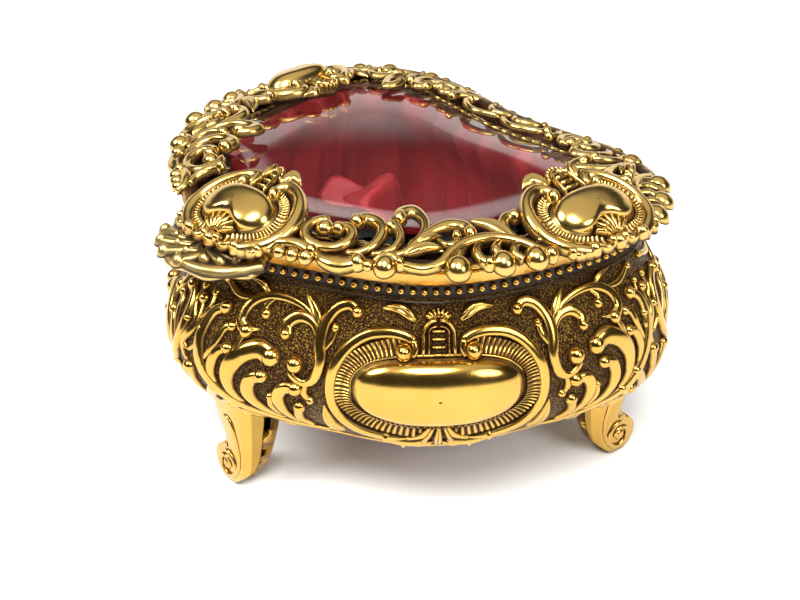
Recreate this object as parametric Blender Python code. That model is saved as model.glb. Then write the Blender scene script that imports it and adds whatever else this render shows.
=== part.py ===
"""Heart-shaped gilt trinket box: a swelling footed body, a hinged lid with a pierced rim around a
bevelled glass, and a padded velvet lining.

The drawing dimensions below are millimetres; MM turns them into metres. The box stands on Z = 0 with
the tip of the heart at -Y, the cleft at +Y and the plane of symmetry at X = 0.
"""

import math

import bmesh
import bpy
import numpy as np
from mathutils import Matrix, Vector

MM = 0.001

# Plan outline of the lid rim: r(a) = sum of the terms times cos(k a), a counted from the tip.
OUTLINE_TERMS = (57.9, -2.3, -6.1, 5.4, -1.8, 0.8, 1.0)
OUTLINE_POINTS = 60
CENTRE_SHIFT_Y = 6.5

# Body shell.
SHELL_WALL = 1.8
SHELL_BOTTOM_Z, SHELL_TOP_Z = 20.0, 69.0
NECK_Z = 63.6
LEDGE_WIDTH, LEDGE_THICKNESS = 9.0, 2.0
INNER_START_Z = 22.5
NECK_STEP, TOP_LIP_WIDTH, LEDGE_INSET = 0.5, 0.6, 0.4
# (height, distance outside the plan outline) up the outer face.
BODY_PROFILE = (
    (20.0, -11.6), (22.0, -8.7), (25.5, -4.5), (29.5, -1.0), (34.0, 1.5), (39.0, 2.6),
    (44.0, 2.7), (49.0, 1.7), (54.0, -0.6), (59.0, -3.4), (63.0, -5.4), (63.6, -5.6),
)
BEAD_BAND_OFFSET = -4.8
# Extra fullness of the wall: (how far out, outline angle, angular spread, height of its middle,
# vertical spread).
SWELLS = ((4.0, 0.0, 0.42, 42.0, 15.0), (2.6, 2.0, 0.34, 30.0, 9.0), (2.6, -2.0, 0.34, 30.0, 9.0))

# Lid.
LID_BOTTOM_Z = 69.3
SEAT_TOP_Z = 71.0
# (height, offset) round the section of the cast lid frame: band, domed rim, inner wall and glass seat.
LID_SECTION = (
    (69.3, -4.4), (69.9, -2.3), (72.6, -1.8), (74.3, -0.7), (75.3, -0.3), (76.8, -4.0),
    (77.9, -9.0), (78.6, -14.0), (78.7, -17.6), (77.5, -17.7), (77.1, -14.0), (76.4, -9.0),
    (75.2, -5.4), (74.0, -4.2), (71.0, -4.2), (71.0, -13.8), (69.3, -13.8),
)
WINDOW_OFFSET, WINDOW_LENGTH, WINDOW_WIDTH = -10.2, 6.4, 3.6
PIERCING_LOW_Z, PIERCING_HIGH_Z = 76.0, 90.0
SCALLOP_OFFSET, SCALLOP_RADIUS = -18.8, 2.5
# Angles from the tip, in degrees, where the rim is pierced on each side.
WINDOW_ANGLES = (34.0, 47.0, 60.0, 73.0, 132.0, 147.0, 164.0)
SCALLOP_ANGLES = (40.0, 53.0, 66.0, 139.0, 155.0, 172.0)
GAP = 0.3

# Glass and its bezel.
GLASS_OFFSET, GLASS_THICKNESS, GLASS_EDGE, GLASS_BEVEL = -11.0, 4.6, 2.9, 13.0
BEZEL_WIDTH, BEZEL_HEIGHT = 1.3, 2.6

# Medallions on the rim: size along the rim, size across it, rise, outward tilt in degrees.
MEDALLION_LENGTH, MEDALLION_DEPTH, MEDALLION_RISE, RIM_TILT = 28.0, 20.0, 4.4, 15.0
MEDALLION_Z = 77.7
# Each medallion as (name, angle from the tip in degrees, offset of its middle from the outline).
MEDALLIONS = (("tip", 5.0, -10.6), ("right", 98.5, -8.6), ("left", -98.5, -8.6))
# (rise, share of the full size) up the stepped section of a medallion.
MEDALLION_LEVELS = (
    (-2.6, 0.84), (0.4, 0.99), (1.5, 0.93), (1.6, 0.74), (3.2, 0.6), (MEDALLION_RISE, 0.34),
)
MEDALLION_POINTS = 20
MEDALLION_GAP = GAP * 1.3

# Floor parts and lining.
PLATE_OFFSET, PLATE_THICKNESS = -13.6, 1.3
FELT_OFFSET, FELT_THICKNESS = -21.0, 0.9
SCREW_OFFSET, SCREW_SHANK_RADIUS, SCREW_HEAD_RADIUS, SCREW_HEAD_HEIGHT = -16.6, 1.1, 1.9, 0.9
SCREW_HOLE_RADIUS, SCREW_HOLE_Z = 1.5, (15.0, 25.0)
SHANK_OVERLAP, SHANK_TOP_Z = 0.4, 22.0
SCREW_ANGLES = (0.0, 142.0, -142.0)
BOARD_OFFSET, BOARD_THICKNESS = -12.6, 2.0
PAD_THICKNESS, PAD_OFFSET = 7.5, -13.2
# (share of the pad's thickness, growth of its outline) up its rounded edge.
PAD_LEVELS = ((0.0, -1.0), (0.35, 0.0), (0.6, 0.0), (0.85, -1.8), (1.0, -7.0))
LINING_THICKNESS, LINING_START_Z, LINING_TOP_Z, LINING_GAP = 3.2, 26.0, 66.5, 0.5
LINING_FOOT_INSET, LINING_NECK_INSET, LINING_FOOT_LIFT = 2.6, 1.4, 0.2

# Feet.
FOOT_WIDTH, FOOT_DEPTH, FOOT_TOE_DEPTH, FOOT_HEIGHT = 14.0, 12.0, 6.0, 34.0
VOLUTE_RADIUS = 5.8
FOOT_FLAT_TRIM = 0.25
FOOT_TAPER_HEIGHT = 20.0
# The volute's arc: where it starts, in degrees, the step between its points and their number.
VOLUTE_START, VOLUTE_STEP, VOLUTE_POINTS = 205.0, 25.0, 11
# (along the curl, up) down the plain edge and up the edge above the volute.
PLAIN_EDGE = ((0.0, FOOT_HEIGHT), (0.0, 14.0), (0.5, 8.5), (1.8, 4.6))
CURL_EDGE = ((8.0, 14.0), (9.4, 18.0), (11.5, 22.0), (13.4, FOOT_HEIGHT))
TIP_FOOT_PLACE, TIP_FOOT_FACING = (0.6, -53.5), -90.0
LOBE_FOOT_PLACE, LOBE_FOOT_FACING = (56.0, 31.5), -4.0

# Thumb lip at the tip.
LIP_HALF_WIDTH, LIP_REACH, LIP_THICKNESS, LIP_TOP_Z = 18.5, 15.3, 4.0, 71.6
LIP_BACK, LIP_POINTS = 7.0, 24
# (drop below the top, growth of the outline) down the lip's rounded edge.
LIP_LEVELS = ((0.0, -1.2), (0.9, 0.0), (2.6, -0.2), (LIP_THICKNESS, -2.4))

# Hinge at the cleft.
HINGE_Y, HINGE_Z = 48.2, 68.9
BARREL_RADIUS, BARREL_BORE, PIN_RADIUS = 1.7, 1.05, 0.72
LEAF_HALF_WIDTH, KNUCKLE_HALF_WIDTH, KNUCKLE_GAP = 7.0, 2.5, 0.3
LEAF_THICKNESS = 1.0
LOWER_LEAF_Y, LOWER_LEAF_Z, LOWER_ARM_Z, LOWER_RIVET_Z = 43.0, (61.8, 67.6), (66.4, 67.55), 64.2
UPPER_LEAF_Y, UPPER_LEAF_Z, UPPER_ARM_Z, UPPER_RIVET_Z = 46.05, (70.8, 72.8), (70.0, 71.4), 71.8
RIVET_HEAD_HEIGHT, PIN_OVERHANG = 0.6, 0.5
ARM_INSET, UNION_OVERLAP, BORE_REACH = 0.15, 0.1, 9.0
RIVET_HOLE_BEFORE, RIVET_HOLE_AFTER = 2.0, 3.0
RIVET_X, RIVET_HEAD_RADIUS, RIVET_SHANK_RADIUS, RIVET_HOLE_RADIUS = 4.7, 0.9, 0.4, 0.6


def clear_scene():
    for old in list(bpy.data.objects):
        bpy.data.objects.remove(old)


def collection(name, hidden=False):
    made = bpy.data.collections.new(name)
    bpy.context.scene.collection.children.link(made)
    made.hide_render = hidden
    return made


def material(name, colour, metallic, roughness, transmission=0.0):
    made = bpy.data.materials.new(name)
    made.use_nodes = True
    shader = made.node_tree.nodes["Principled BSDF"]
    shader.inputs["Base Color"].default_value = (*colour, 1.0)
    shader.inputs["Metallic"].default_value = metallic
    shader.inputs["Roughness"].default_value = roughness
    shader.inputs["Transmission Weight"].default_value = transmission
    made.diffuse_color = (*colour, 1.0)
    return made


def finish(name, bm, look, group, smooth=False):
    bmesh.ops.remove_doubles(bm, verts=bm.verts, dist=1e-6)
    bmesh.ops.recalc_face_normals(bm, faces=bm.faces)
    if bm.calc_volume(signed=True) < 0:
        bmesh.ops.reverse_faces(bm, faces=bm.faces)
    mesh = bpy.data.meshes.new(name)
    bm.to_mesh(mesh)
    bm.free()
    mesh.polygons.foreach_set("use_smooth", [smooth] * len(mesh.polygons))
    made = bpy.data.objects.new(name, mesh)
    group.objects.link(made)
    if look is None:
        made.hide_render = True
        made.display_type = "WIRE"
    else:
        mesh.materials.append(look)
    return made


def cut(target, cutter, operation="DIFFERENCE"):
    step = target.modifiers.new(f"{operation.lower()}_{cutter.name}", "BOOLEAN")
    step.operation = operation
    step.solver = "EXACT"
    step.object = cutter


def outline_frame(angles):
    """Points on the plan outline and the outward normals there, in millimetres."""
    def point(a):
        r = sum(term * np.cos(k * a) for k, term in enumerate(OUTLINE_TERMS))
        return np.stack([r * np.sin(a), -r * np.cos(a)], axis=-1)

    step = 1e-4
    along = point(angles + step) - point(angles - step)
    along /= np.linalg.norm(along, axis=1)[:, None]
    return point(angles), np.stack([along[:, 1], -along[:, 0]], axis=-1)


def even_angles(count):
    fine = np.linspace(0.0, 2.0 * math.pi, 2001)
    points, _ = outline_frame(fine)
    run = np.concatenate([[0.0], np.cumsum(np.linalg.norm(np.diff(points, axis=0), axis=1))])
    return np.interp(np.arange(count) * run[-1] / count, run, fine)


ANGLES = even_angles(OUTLINE_POINTS)


def swell(angles, z):
    """How much further than the profile the body reaches, above each foot."""
    return sum(
        far * np.exp(-((np.arctan2(np.sin(angles - middle), np.cos(angles - middle)) / spread) ** 2))
        * math.exp(-(((z - height) / tall) ** 2))
        for far, middle, spread, height, tall in SWELLS
    )


def ring(z, offset, swelling=False):
    points, normals = outline_frame(ANGLES)
    reach = offset + (swell(ANGLES, z) if swelling else 0.0)
    flat = points + normals * (reach[:, None] if swelling else reach)
    return [Vector((x * MM, (y + CENTRE_SHIFT_Y) * MM, z * MM)) for x, y in flat]


def loft(name, rings, look, group, closed_section=False, smooth=True):
    """A solid through the rings: a closed section makes a hoop, an open one is capped at both ends."""
    bm = bmesh.new()
    rows = [[bm.verts.new(p) for p in row] for row in rings]
    count = len(rows[0])
    pairs = list(zip(rows, rows[1:])) + ([(rows[-1], rows[0])] if closed_section else [])
    for low, high in pairs:
        for i in range(count):
            j = (i + 1) % count
            bm.faces.new((low[i], low[j], high[j], high[i]))
    if not closed_section:
        bm.faces.new(rows[0])
        bm.faces.new(rows[-1])
    return finish(name, bm, look, group, smooth)


def hoop(name, section, look, group, swelling=False):
    return loft(name, [ring(z, o, swelling) for z, o in section], look, group, True)


def plate(name, low, high, offset, look, group):
    return loft(name, [ring(low, offset), ring(high, offset)], look, group, smooth=False)


def cylinder(name, start, end, radius, look, group, sides=16):
    start, end = Vector(start) * MM, Vector(end) * MM
    axis = end - start
    bm = bmesh.new()
    bmesh.ops.create_cone(bm, cap_ends=True, segments=sides, radius1=radius * MM,
                          radius2=radius * MM, depth=axis.length)
    turn = axis.to_track_quat("Z", "Y").to_matrix().to_4x4()
    bmesh.ops.transform(bm, matrix=Matrix.Translation((start + end) / 2) @ turn, verts=bm.verts)
    return finish(name, bm, look, group, smooth=False)


def box(name, low, high, look, group):
    bm = bmesh.new()
    low, high = Vector(low) * MM, Vector(high) * MM
    bmesh.ops.create_cube(bm, size=1.0)
    bmesh.ops.scale(bm, vec=high - low, verts=bm.verts)
    bmesh.ops.translate(bm, vec=(low + high) / 2, verts=bm.verts)
    return finish(name, bm, look, group)


def place_on_outline(angle_degrees, offset):
    """Plan point and outward direction at an angle from the tip."""
    points, normals = outline_frame(np.array([math.radians(angle_degrees)]))
    x, y = points[0] + normals[0] * offset
    return x, y + CENTRE_SHIFT_Y, math.degrees(math.atan2(normals[0][1], normals[0][0]))


def joined_cutter(name, makers, group):
    """One wire object holding several separate cutting bodies."""
    bm = bmesh.new()
    for part in makers:
        bm.from_mesh(part.data)
        mesh = part.data
        bpy.data.objects.remove(part)
        bpy.data.meshes.remove(mesh)
    return finish(name, bm, None, group)


def body(parts, cutters, looks):
    inner_top = BEAD_BAND_OFFSET - SHELL_WALL
    inner = [(z, o - SHELL_WALL) for z, o in reversed(BODY_PROFILE) if INNER_START_Z < z < NECK_Z]
    section = list(BODY_PROFILE) + [
        (NECK_Z + NECK_STEP, BEAD_BAND_OFFSET), (SHELL_TOP_Z, BEAD_BAND_OFFSET),
        (SHELL_TOP_Z, inner_top - TOP_LIP_WIDTH),
    ] + inner + [
        (SHELL_BOTTOM_Z + LEDGE_THICKNESS, BODY_PROFILE[0][1] - LEDGE_INSET),
        (SHELL_BOTTOM_Z + LEDGE_THICKNESS, BODY_PROFILE[0][1] - LEDGE_WIDTH),
        (SHELL_BOTTOM_Z, BODY_PROFILE[0][1] - LEDGE_WIDTH),
    ]
    shell = hoop("body_shell", section, looks["gilt"], parts, swelling=True)
    holes = []
    for k, angle in enumerate(SCREW_ANGLES):
        x, y, _ = place_on_outline(angle, SCREW_OFFSET)
        head_top = SHELL_BOTTOM_Z - GAP - PLATE_THICKNESS - GAP
        screw = cylinder(f"base_screw_{k + 1}", (x, y, head_top - SCREW_HEAD_HEIGHT), (x, y, head_top),
                         SCREW_HEAD_RADIUS, looks["steel"], parts, 12)
        shank = cylinder(f"screw_shank_{k + 1}", (x, y, head_top - SHANK_OVERLAP), (x, y, SHANK_TOP_Z),
                         SCREW_SHANK_RADIUS, None, cutters, 8)
        cut(screw, shank, "UNION")
        holes.append(cylinder(f"hole{k}", (x, y, SCREW_HOLE_Z[0]), (x, y, SCREW_HOLE_Z[1]), SCREW_HOLE_RADIUS,
                              None, cutters, 8))
    screw_holes = joined_cutter("screw_holes", holes, cutters)
    cut(shell, screw_holes)
    top = SHELL_BOTTOM_Z - GAP
    base = plate("base_plate", top - PLATE_THICKNESS, top, PLATE_OFFSET, looks["brass"], parts)
    cut(base, screw_holes)
    felt_top = top - PLATE_THICKNESS - GAP
    plate("base_felt", felt_top - FELT_THICKNESS, felt_top, FELT_OFFSET, looks["felt"], parts)
    board_low = SHELL_BOTTOM_Z + LEDGE_THICKNESS + GAP
    plate("floor_board", board_low, board_low + BOARD_THICKNESS, BOARD_OFFSET, looks["board"], parts)
    pad_low = board_low + BOARD_THICKNESS + GAP
    loft("floor_pad", [ring(pad_low + share * PAD_THICKNESS, PAD_OFFSET + grow) for share, grow in PAD_LEVELS],
         looks["velvet"], parts)
    # The lining lies just inside the wall, so its outer face repeats the inner profile with a gap.
    outside = [(z, o - SHELL_WALL - LINING_GAP) for z, o in BODY_PROFILE if LINING_START_Z < z < NECK_Z]
    outside[0] = (pad_low + LINING_FOOT_LIFT, BODY_PROFILE[2][1] - SHELL_WALL - LINING_FOOT_INSET)
    outside.append((LINING_TOP_Z, BEAD_BAND_OFFSET - SHELL_WALL - LINING_NECK_INSET))
    inside = [(z, o - LINING_THICKNESS) for z, o in reversed(outside)]
    hoop("wall_lining", outside + inside, looks["velvet"], parts, swelling=True)


def foot_profile():
    """Side view of a scroll foot: (along the curl, up). The plain edge is at 0, the volute beyond it, and the
    lowest part of the volute is cut flat to stand on."""
    centre = (FOOT_WIDTH - VOLUTE_RADIUS, VOLUTE_RADIUS)
    points = list(PLAIN_EDGE)
    for k in range(VOLUTE_POINTS):
        a = math.radians(VOLUTE_START + k * VOLUTE_STEP)
        points.append((centre[0] + VOLUTE_RADIUS * math.cos(a), centre[1] + VOLUTE_RADIUS * math.sin(a)))
    points += CURL_EDGE
    return [(u, max(v - FOOT_FLAT_TRIM, 0.0)) for u, v in points]


def foot(name, place, facing, curl, parts, clearance, looks):
    """A scroll foot with its carved face towards `facing` degrees; curl is +1 when the volute turns to the
    left of that direction seen from above, -1 to the right."""
    out = Vector((math.cos(math.radians(facing)), math.sin(math.radians(facing)), 0.0))
    side = Vector((-out.y, out.x, 0.0)) * curl
    root = Vector((place[0], place[1] + CENTRE_SHIFT_Y, 0.0)) - side * (FOOT_WIDTH / 2)
    bm = bmesh.new()
    front, back = [], []
    for u, v in foot_profile():
        depth = FOOT_TOE_DEPTH + (FOOT_DEPTH - FOOT_TOE_DEPTH) * min(v / FOOT_TAPER_HEIGHT, 1.0)
        here = root + side * u + Vector((0.0, 0.0, v))
        front.append(bm.verts.new(here * MM))
        back.append(bm.verts.new((here - out * depth) * MM))
    count = len(front)
    bm.faces.new(front)
    bm.faces.new(back)
    for i in range(count):
        j = (i + 1) % count
        bm.faces.new((front[i], front[j], back[j], back[i]))
    made = finish(name, bm, looks["gilt"], parts)
    cut(made, clearance)
    return made


def lip(parts, clearance, looks):
    """The cast leaf lip under the tip of the lid: an arc-ended tongue curving down at its edge."""
    centre_y = place_on_outline(0.0, BEAD_BAND_OFFSET)[1]
    rings = []
    for drop, grow in LIP_LEVELS:
        row = []
        for k in range(LIP_POINTS):
            a = math.pi * 2.0 * k / LIP_POINTS
            reach = LIP_REACH + grow if math.sin(a) < 0 else LIP_BACK
            x = (LIP_HALF_WIDTH + grow) * math.cos(a)
            row.append(Vector((x * MM, (centre_y + reach * math.sin(a)) * MM, (LIP_TOP_Z - drop) * MM)))
        rings.append(row)
    made = loft("front_lip", rings[::-1], looks["gilt_pale"], parts)
    cut(made, clearance)


def lid(parts, cutters, looks):
    frame = hoop("lid_frame", LID_SECTION, looks["gilt"], parts)
    holes = []
    for mirror in (1, -1):
        for k, angle in enumerate(WINDOW_ANGLES):
            x, y, facing = place_on_outline(mirror * angle, WINDOW_OFFSET)
            hole = cylinder(f"w{mirror}{k}", (0, 0, PIERCING_LOW_Z), (0, 0, PIERCING_HIGH_Z), 1.0, None,
                            cutters, 8)
            size = Matrix.Diagonal((WINDOW_WIDTH / 2, WINDOW_LENGTH / 2, 1.0, 1.0))
            hole.data.transform(Matrix.Translation((x * MM, y * MM, 0.0))
                                @ Matrix.Rotation(math.radians(facing), 4, "Z") @ size)
            holes.append(hole)
        for k, angle in enumerate(SCALLOP_ANGLES):
            x, y, _ = place_on_outline(mirror * angle, SCALLOP_OFFSET)
            holes.append(cylinder(f"s{mirror}{k}", (x, y, PIERCING_LOW_Z), (x, y, PIERCING_HIGH_Z),
                                  SCALLOP_RADIUS, None, cutters, 8))
    cut(frame, joined_cutter("rim_piercings", holes, cutters))
    low = SEAT_TOP_Z + GAP
    loft("glass_pane", [
        ring(low, GLASS_OFFSET), ring(low + GLASS_EDGE, GLASS_OFFSET),
        ring(low + GLASS_THICKNESS, GLASS_OFFSET - GLASS_BEVEL),
    ], looks["glass"], parts, smooth=False)
    inner, outer = GLASS_OFFSET + GAP, GLASS_OFFSET + GAP + BEZEL_WIDTH
    hoop("glass_bezel", [(low, outer), (low + BEZEL_HEIGHT, outer), (low + BEZEL_HEIGHT, inner),
                         (low, inner)], looks["gilt"], parts)
    # Solid under the domed rim, a gap above its face, so that each medallion follows the rim.
    dome = [(z + MEDALLION_GAP, o) for z, o in LID_SECTION[4:9]]
    inner_edge = min(o for _, o in LID_SECTION[4:10]) - GAP
    under = hoop("rim_clearance", [(LID_BOTTOM_Z, GAP), (dome[0][0], GAP)] + dome[1:]
                 + [(dome[-1][0], inner_edge), (LID_BOTTOM_Z, inner_edge)], None, cutters)
    for name, angle, offset in MEDALLIONS:
        medallion(f"medallion_{name}", angle, offset, parts, under, looks)


def medallion(name, angle, offset, parts, under, looks):
    x, y, facing = place_on_outline(angle, offset)
    rings = []
    for rise, share in MEDALLION_LEVELS:
        row = []
        for k in range(MEDALLION_POINTS):
            a = 2.0 * math.pi * k / MEDALLION_POINTS
            row.append(Vector((share * MEDALLION_DEPTH / 2 * math.cos(a) * MM,
                               share * MEDALLION_LENGTH / 2 * math.sin(a) * MM, rise * MM)))
        rings.append(row)
    made = loft(name, rings, looks["gilt"], parts)
    made.data.transform(Matrix.Translation((x * MM, y * MM, MEDALLION_Z * MM))
                        @ Matrix.Rotation(math.radians(facing), 4, "Z")
                        @ Matrix.Rotation(math.radians(RIM_TILT), 4, "Y"))
    cut(made, under)


def leaf(name, face_y, heights, knuckles, arm, look, parts, cutters):
    """A hinge leaf: a flat plate, its knuckles on the hinge line and an arm to each knuckle."""
    y = face_y + CENTRE_SHIFT_Y
    axis_y = HINGE_Y + CENTRE_SHIFT_Y
    made = box(name, (-LEAF_HALF_WIDTH, y, heights[0]), (LEAF_HALF_WIDTH, y + LEAF_THICKNESS, heights[1]),
               look, parts)
    for k, (left, right) in enumerate(knuckles):
        cut(made, box(f"{name}_arm_{k}", (left + ARM_INSET, y + UNION_OVERLAP, arm[0]),
                      (right - ARM_INSET, axis_y, arm[1]), None, cutters), "UNION")
        cut(made, cylinder(f"{name}_knuckle_{k}", (left, axis_y, HINGE_Z), (right, axis_y, HINGE_Z),
                           BARREL_RADIUS, None, cutters), "UNION")
    return made


def hinge(parts, cutters, looks):
    axis_y = HINGE_Y + CENTRE_SHIFT_Y
    inner, outer = KNUCKLE_HALF_WIDTH + KNUCKLE_GAP, LEAF_HALF_WIDTH
    lower = leaf("hinge_leaf_lower", LOWER_LEAF_Y, LOWER_LEAF_Z, ((-outer, -inner), (inner, outer)),
                 LOWER_ARM_Z, looks["brass"], parts, cutters)
    upper = leaf("hinge_leaf_upper", UPPER_LEAF_Y, UPPER_LEAF_Z,
                 ((-KNUCKLE_HALF_WIDTH, KNUCKLE_HALF_WIDTH),), UPPER_ARM_Z, looks["brass"], parts, cutters)
    bore = cylinder("pin_bore", (-BORE_REACH, axis_y, HINGE_Z), (BORE_REACH, axis_y, HINGE_Z),
                    BARREL_BORE, None, cutters, 12)
    cut(lower, bore)
    cut(upper, bore)
    pin_end = outer + PIN_OVERHANG
    cylinder("hinge_pin", (-pin_end, axis_y, HINGE_Z), (pin_end, axis_y, HINGE_Z), PIN_RADIUS, looks["steel"],
             parts, 12)
    for leaf_made, label, face_y, z in ((lower, "lower", LOWER_LEAF_Y, LOWER_RIVET_Z),
                                        (upper, "upper", UPPER_LEAF_Y, UPPER_RIVET_Z)):
        y = face_y + CENTRE_SHIFT_Y
        for side, where in ((-1, "left"), (1, "right")):
            x = side * RIVET_X
            hole = cylinder(f"hole_{label}_{where}", (x, y - RIVET_HOLE_BEFORE, z),
                            (x, y + RIVET_HOLE_AFTER, z), RIVET_HOLE_RADIUS, None, cutters, 8)
            cut(leaf_made, hole)
            face = y + LEAF_THICKNESS + GAP
            rivet = cylinder(f"rivet_{label}_{where}", (x, face, z), (x, face + RIVET_HEAD_HEIGHT, z),
                             RIVET_HEAD_RADIUS, looks["brass"], parts, 12)
            cut(rivet, cylinder(f"shank_{label}_{where}", (x, y + UNION_OVERLAP, z), (x, face + GAP, z),
                                RIVET_SHANK_RADIUS, None, cutters, 8), "UNION")


def main():
    clear_scene()
    parts = collection("vanity_trinket_box")
    cutters = collection("cutters", hidden=True)
    looks = {
        "gilt": material("antique_gilt", (0.78, 0.52, 0.12), 1.0, 0.25),
        "gilt_pale": material("pale_gilt", (0.80, 0.64, 0.30), 1.0, 0.3),
        "brass": material("brass", (0.70, 0.52, 0.20), 1.0, 0.35),
        "steel": material("steel", (0.55, 0.55, 0.55), 1.0, 0.35),
        "glass": material("clear_glass", (1.0, 1.0, 1.0), 0.0, 0.02, 1.0),
        "velvet": material("red_velvet", (0.32, 0.01, 0.02), 0.0, 0.8),
        "felt": material("felt", (0.16, 0.02, 0.03), 0.0, 0.95),
        "board": material("card_board", (0.45, 0.34, 0.22), 0.0, 0.9),
    }
    body(parts, cutters, looks)
    # Filled body, base plate and lid band, a gap larger than they are: it trims the feet and the lip.
    clearance = loft("body_clearance", [ring(SHELL_BOTTOM_Z - PLATE_THICKNESS - 2 * GAP, PLATE_OFFSET + GAP),
                                        ring(SHELL_BOTTOM_Z - 1.2 * GAP, PLATE_OFFSET + GAP),
                                        ring(SHELL_BOTTOM_Z - GAP, BODY_PROFILE[0][1] + GAP, True)]
                     + [ring(z, o + GAP * 1.2, True) for z, o in BODY_PROFILE]
                     + [ring(NECK_Z + 0.2, BEAD_BAND_OFFSET + GAP), ring(69.0, BEAD_BAND_OFFSET + GAP)]
                     + [ring(z - 0.1, o + GAP) for z, o in LID_SECTION[:4]], None, cutters)
    foot("foot_tip", TIP_FOOT_PLACE, TIP_FOOT_FACING, -1, parts, clearance, looks)
    foot("foot_right", LOBE_FOOT_PLACE, LOBE_FOOT_FACING, 1, parts, clearance, looks)
    x, y = LOBE_FOOT_PLACE
    foot("foot_left", (-x, y), 180.0 - LOBE_FOOT_FACING, -1, parts, clearance, looks)
    lip(parts, clearance, looks)
    lid(parts, cutters, looks)
    hinge(parts, cutters, looks)


main()
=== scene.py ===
"""Looks of the heart-shaped gilt trinket box: cast scrollwork, bevelled glass and padded velvet.

Lengths here are millimetres in the frame of the CAD model; MM turns them into metres. The relief is drawn
on two unrolled faces: the wall, as (run along the outline from the tip, height), and the domed lid rim, as
(run along the outline, distance inwards from its edge).
"""

import math

import bmesh
import bpy
import numpy as np
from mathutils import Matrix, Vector


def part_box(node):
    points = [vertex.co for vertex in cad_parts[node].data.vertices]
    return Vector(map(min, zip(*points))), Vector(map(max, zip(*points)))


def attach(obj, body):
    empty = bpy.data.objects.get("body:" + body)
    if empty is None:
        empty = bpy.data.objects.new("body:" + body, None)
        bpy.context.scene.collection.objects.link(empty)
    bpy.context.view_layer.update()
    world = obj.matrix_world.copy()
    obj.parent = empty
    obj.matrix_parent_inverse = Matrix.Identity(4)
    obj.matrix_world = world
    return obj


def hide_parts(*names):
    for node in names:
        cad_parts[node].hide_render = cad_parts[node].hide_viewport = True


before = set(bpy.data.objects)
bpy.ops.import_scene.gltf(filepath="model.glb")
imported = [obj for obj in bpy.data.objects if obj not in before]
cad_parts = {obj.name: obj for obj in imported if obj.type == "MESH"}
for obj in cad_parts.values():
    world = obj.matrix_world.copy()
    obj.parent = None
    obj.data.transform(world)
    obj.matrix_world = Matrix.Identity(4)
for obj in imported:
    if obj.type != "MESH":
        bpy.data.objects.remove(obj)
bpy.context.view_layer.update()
MM = 0.001

# ---------------------------------------------------------------- plan outline and the two relief faces

OUTLINE_TERMS = (57.9, -2.3, -6.1, 5.4, -1.8, 0.8, 1.0)
SHIFT_Y = 6.5
# Extra fullness of the wall: (how far out, outline angle, angular spread, height of its middle,
# vertical spread).
SWELLS = ((4.0, 0.0, 0.42, 42.0, 15.0), (2.6, 2.0, 0.34, 30.0, 9.0), (2.6, -2.0, 0.34, 30.0, 9.0))
WALL_PROFILE = (
    (20.0, -11.6), (22.0, -8.7), (25.5, -4.5), (29.5, -1.0), (34.0, 1.5), (39.0, 2.6),
    (44.0, 2.7), (49.0, 1.7), (54.0, -0.6), (59.0, -3.4), (63.0, -5.4), (64.2, -5.0),
)
RIM_PROFILE = (
    (-3.0, 73.4), (-1.0, 74.6), (0.3, 75.2), (4.0, 76.6), (9.0, 77.8), (14.0, 78.4), (18.0, 78.6),
    (26.0, 78.6),
)


def heart_point(a):
    r = sum(term * np.cos(k * a) for k, term in enumerate(OUTLINE_TERMS))
    return np.stack([r * np.sin(a), -r * np.cos(a)], axis=-1)


FINE_ANGLES = np.linspace(-math.pi, math.pi, 4001)
FINE_POINTS = heart_point(FINE_ANGLES)
FINE_RUN = np.concatenate([[0.0], np.cumsum(np.linalg.norm(np.diff(FINE_POINTS, axis=0), axis=1))])
PERIMETER = FINE_RUN[-1]
FINE_RUN = FINE_RUN - PERIMETER / 2


def smooth(points, count):
    """Catmull-Rom curve through the points, evenly spaced in its parameter."""
    p = np.asarray(points, float)
    if len(p) == 2:
        t = np.linspace(0.0, 1.0, count)[:, None]
        return p[0] * (1 - t) + p[1] * t
    ends = np.vstack([2 * p[0] - p[1], p, 2 * p[-1] - p[-2]])
    t = np.linspace(0.0, len(p) - 1 - 1e-9, count)
    i = t.astype(int)
    f = (t - i)[:, None]
    a, b, c, d = ends[i], ends[i + 1], ends[i + 2], ends[i + 3]
    return 0.5 * (2 * b + (c - a) * f + (2 * a - 5 * b + 4 * c - d) * f**2 + (3 * b - 3 * c + d - a) * f**3)


WALL_TABLE = smooth(WALL_PROFILE, 300)
RIM_TABLE = smooth(RIM_PROFILE, 300)


def plan(run):
    """Points of the plan outline at these runs from the tip, their outward normals and their angles."""
    run = (np.asarray(run, float) + PERIMETER / 2) % PERIMETER - PERIMETER / 2
    a = np.interp(run, FINE_RUN, FINE_ANGLES)
    step = 1e-4
    along = heart_point(a + step) - heart_point(a - step)
    along /= np.linalg.norm(along, axis=-1, keepdims=True)
    return heart_point(a), np.stack([along[..., 1], -along[..., 0]], axis=-1), a


def swell(a, z):
    return sum(
        far * np.exp(-(((a - angle) / spread) ** 2) - ((z - middle) / tall) ** 2)
        for far, angle, spread, middle, tall in SWELLS
    )


def wall(run, z, lift=0.0):
    """A point on the wall, lifted off it along its normal."""
    run, z, lift = np.broadcast_arrays(np.asarray(run, float), np.asarray(z, float), np.asarray(lift, float))
    flat, normal, a = plan(run)
    low, high = z - 0.2, z + 0.2
    reach = [np.interp(h, WALL_TABLE[:, 0], WALL_TABLE[:, 1]) + swell(a, h) for h in (low, z, high)]
    slope = (reach[2] - reach[0]) / 0.4
    size = np.sqrt(1 + slope**2)
    out = reach[1] + lift / size
    xy = flat + normal * out[..., None]
    return np.stack([xy[..., 0], xy[..., 1] + SHIFT_Y, z - lift * slope / size], axis=-1)


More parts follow.
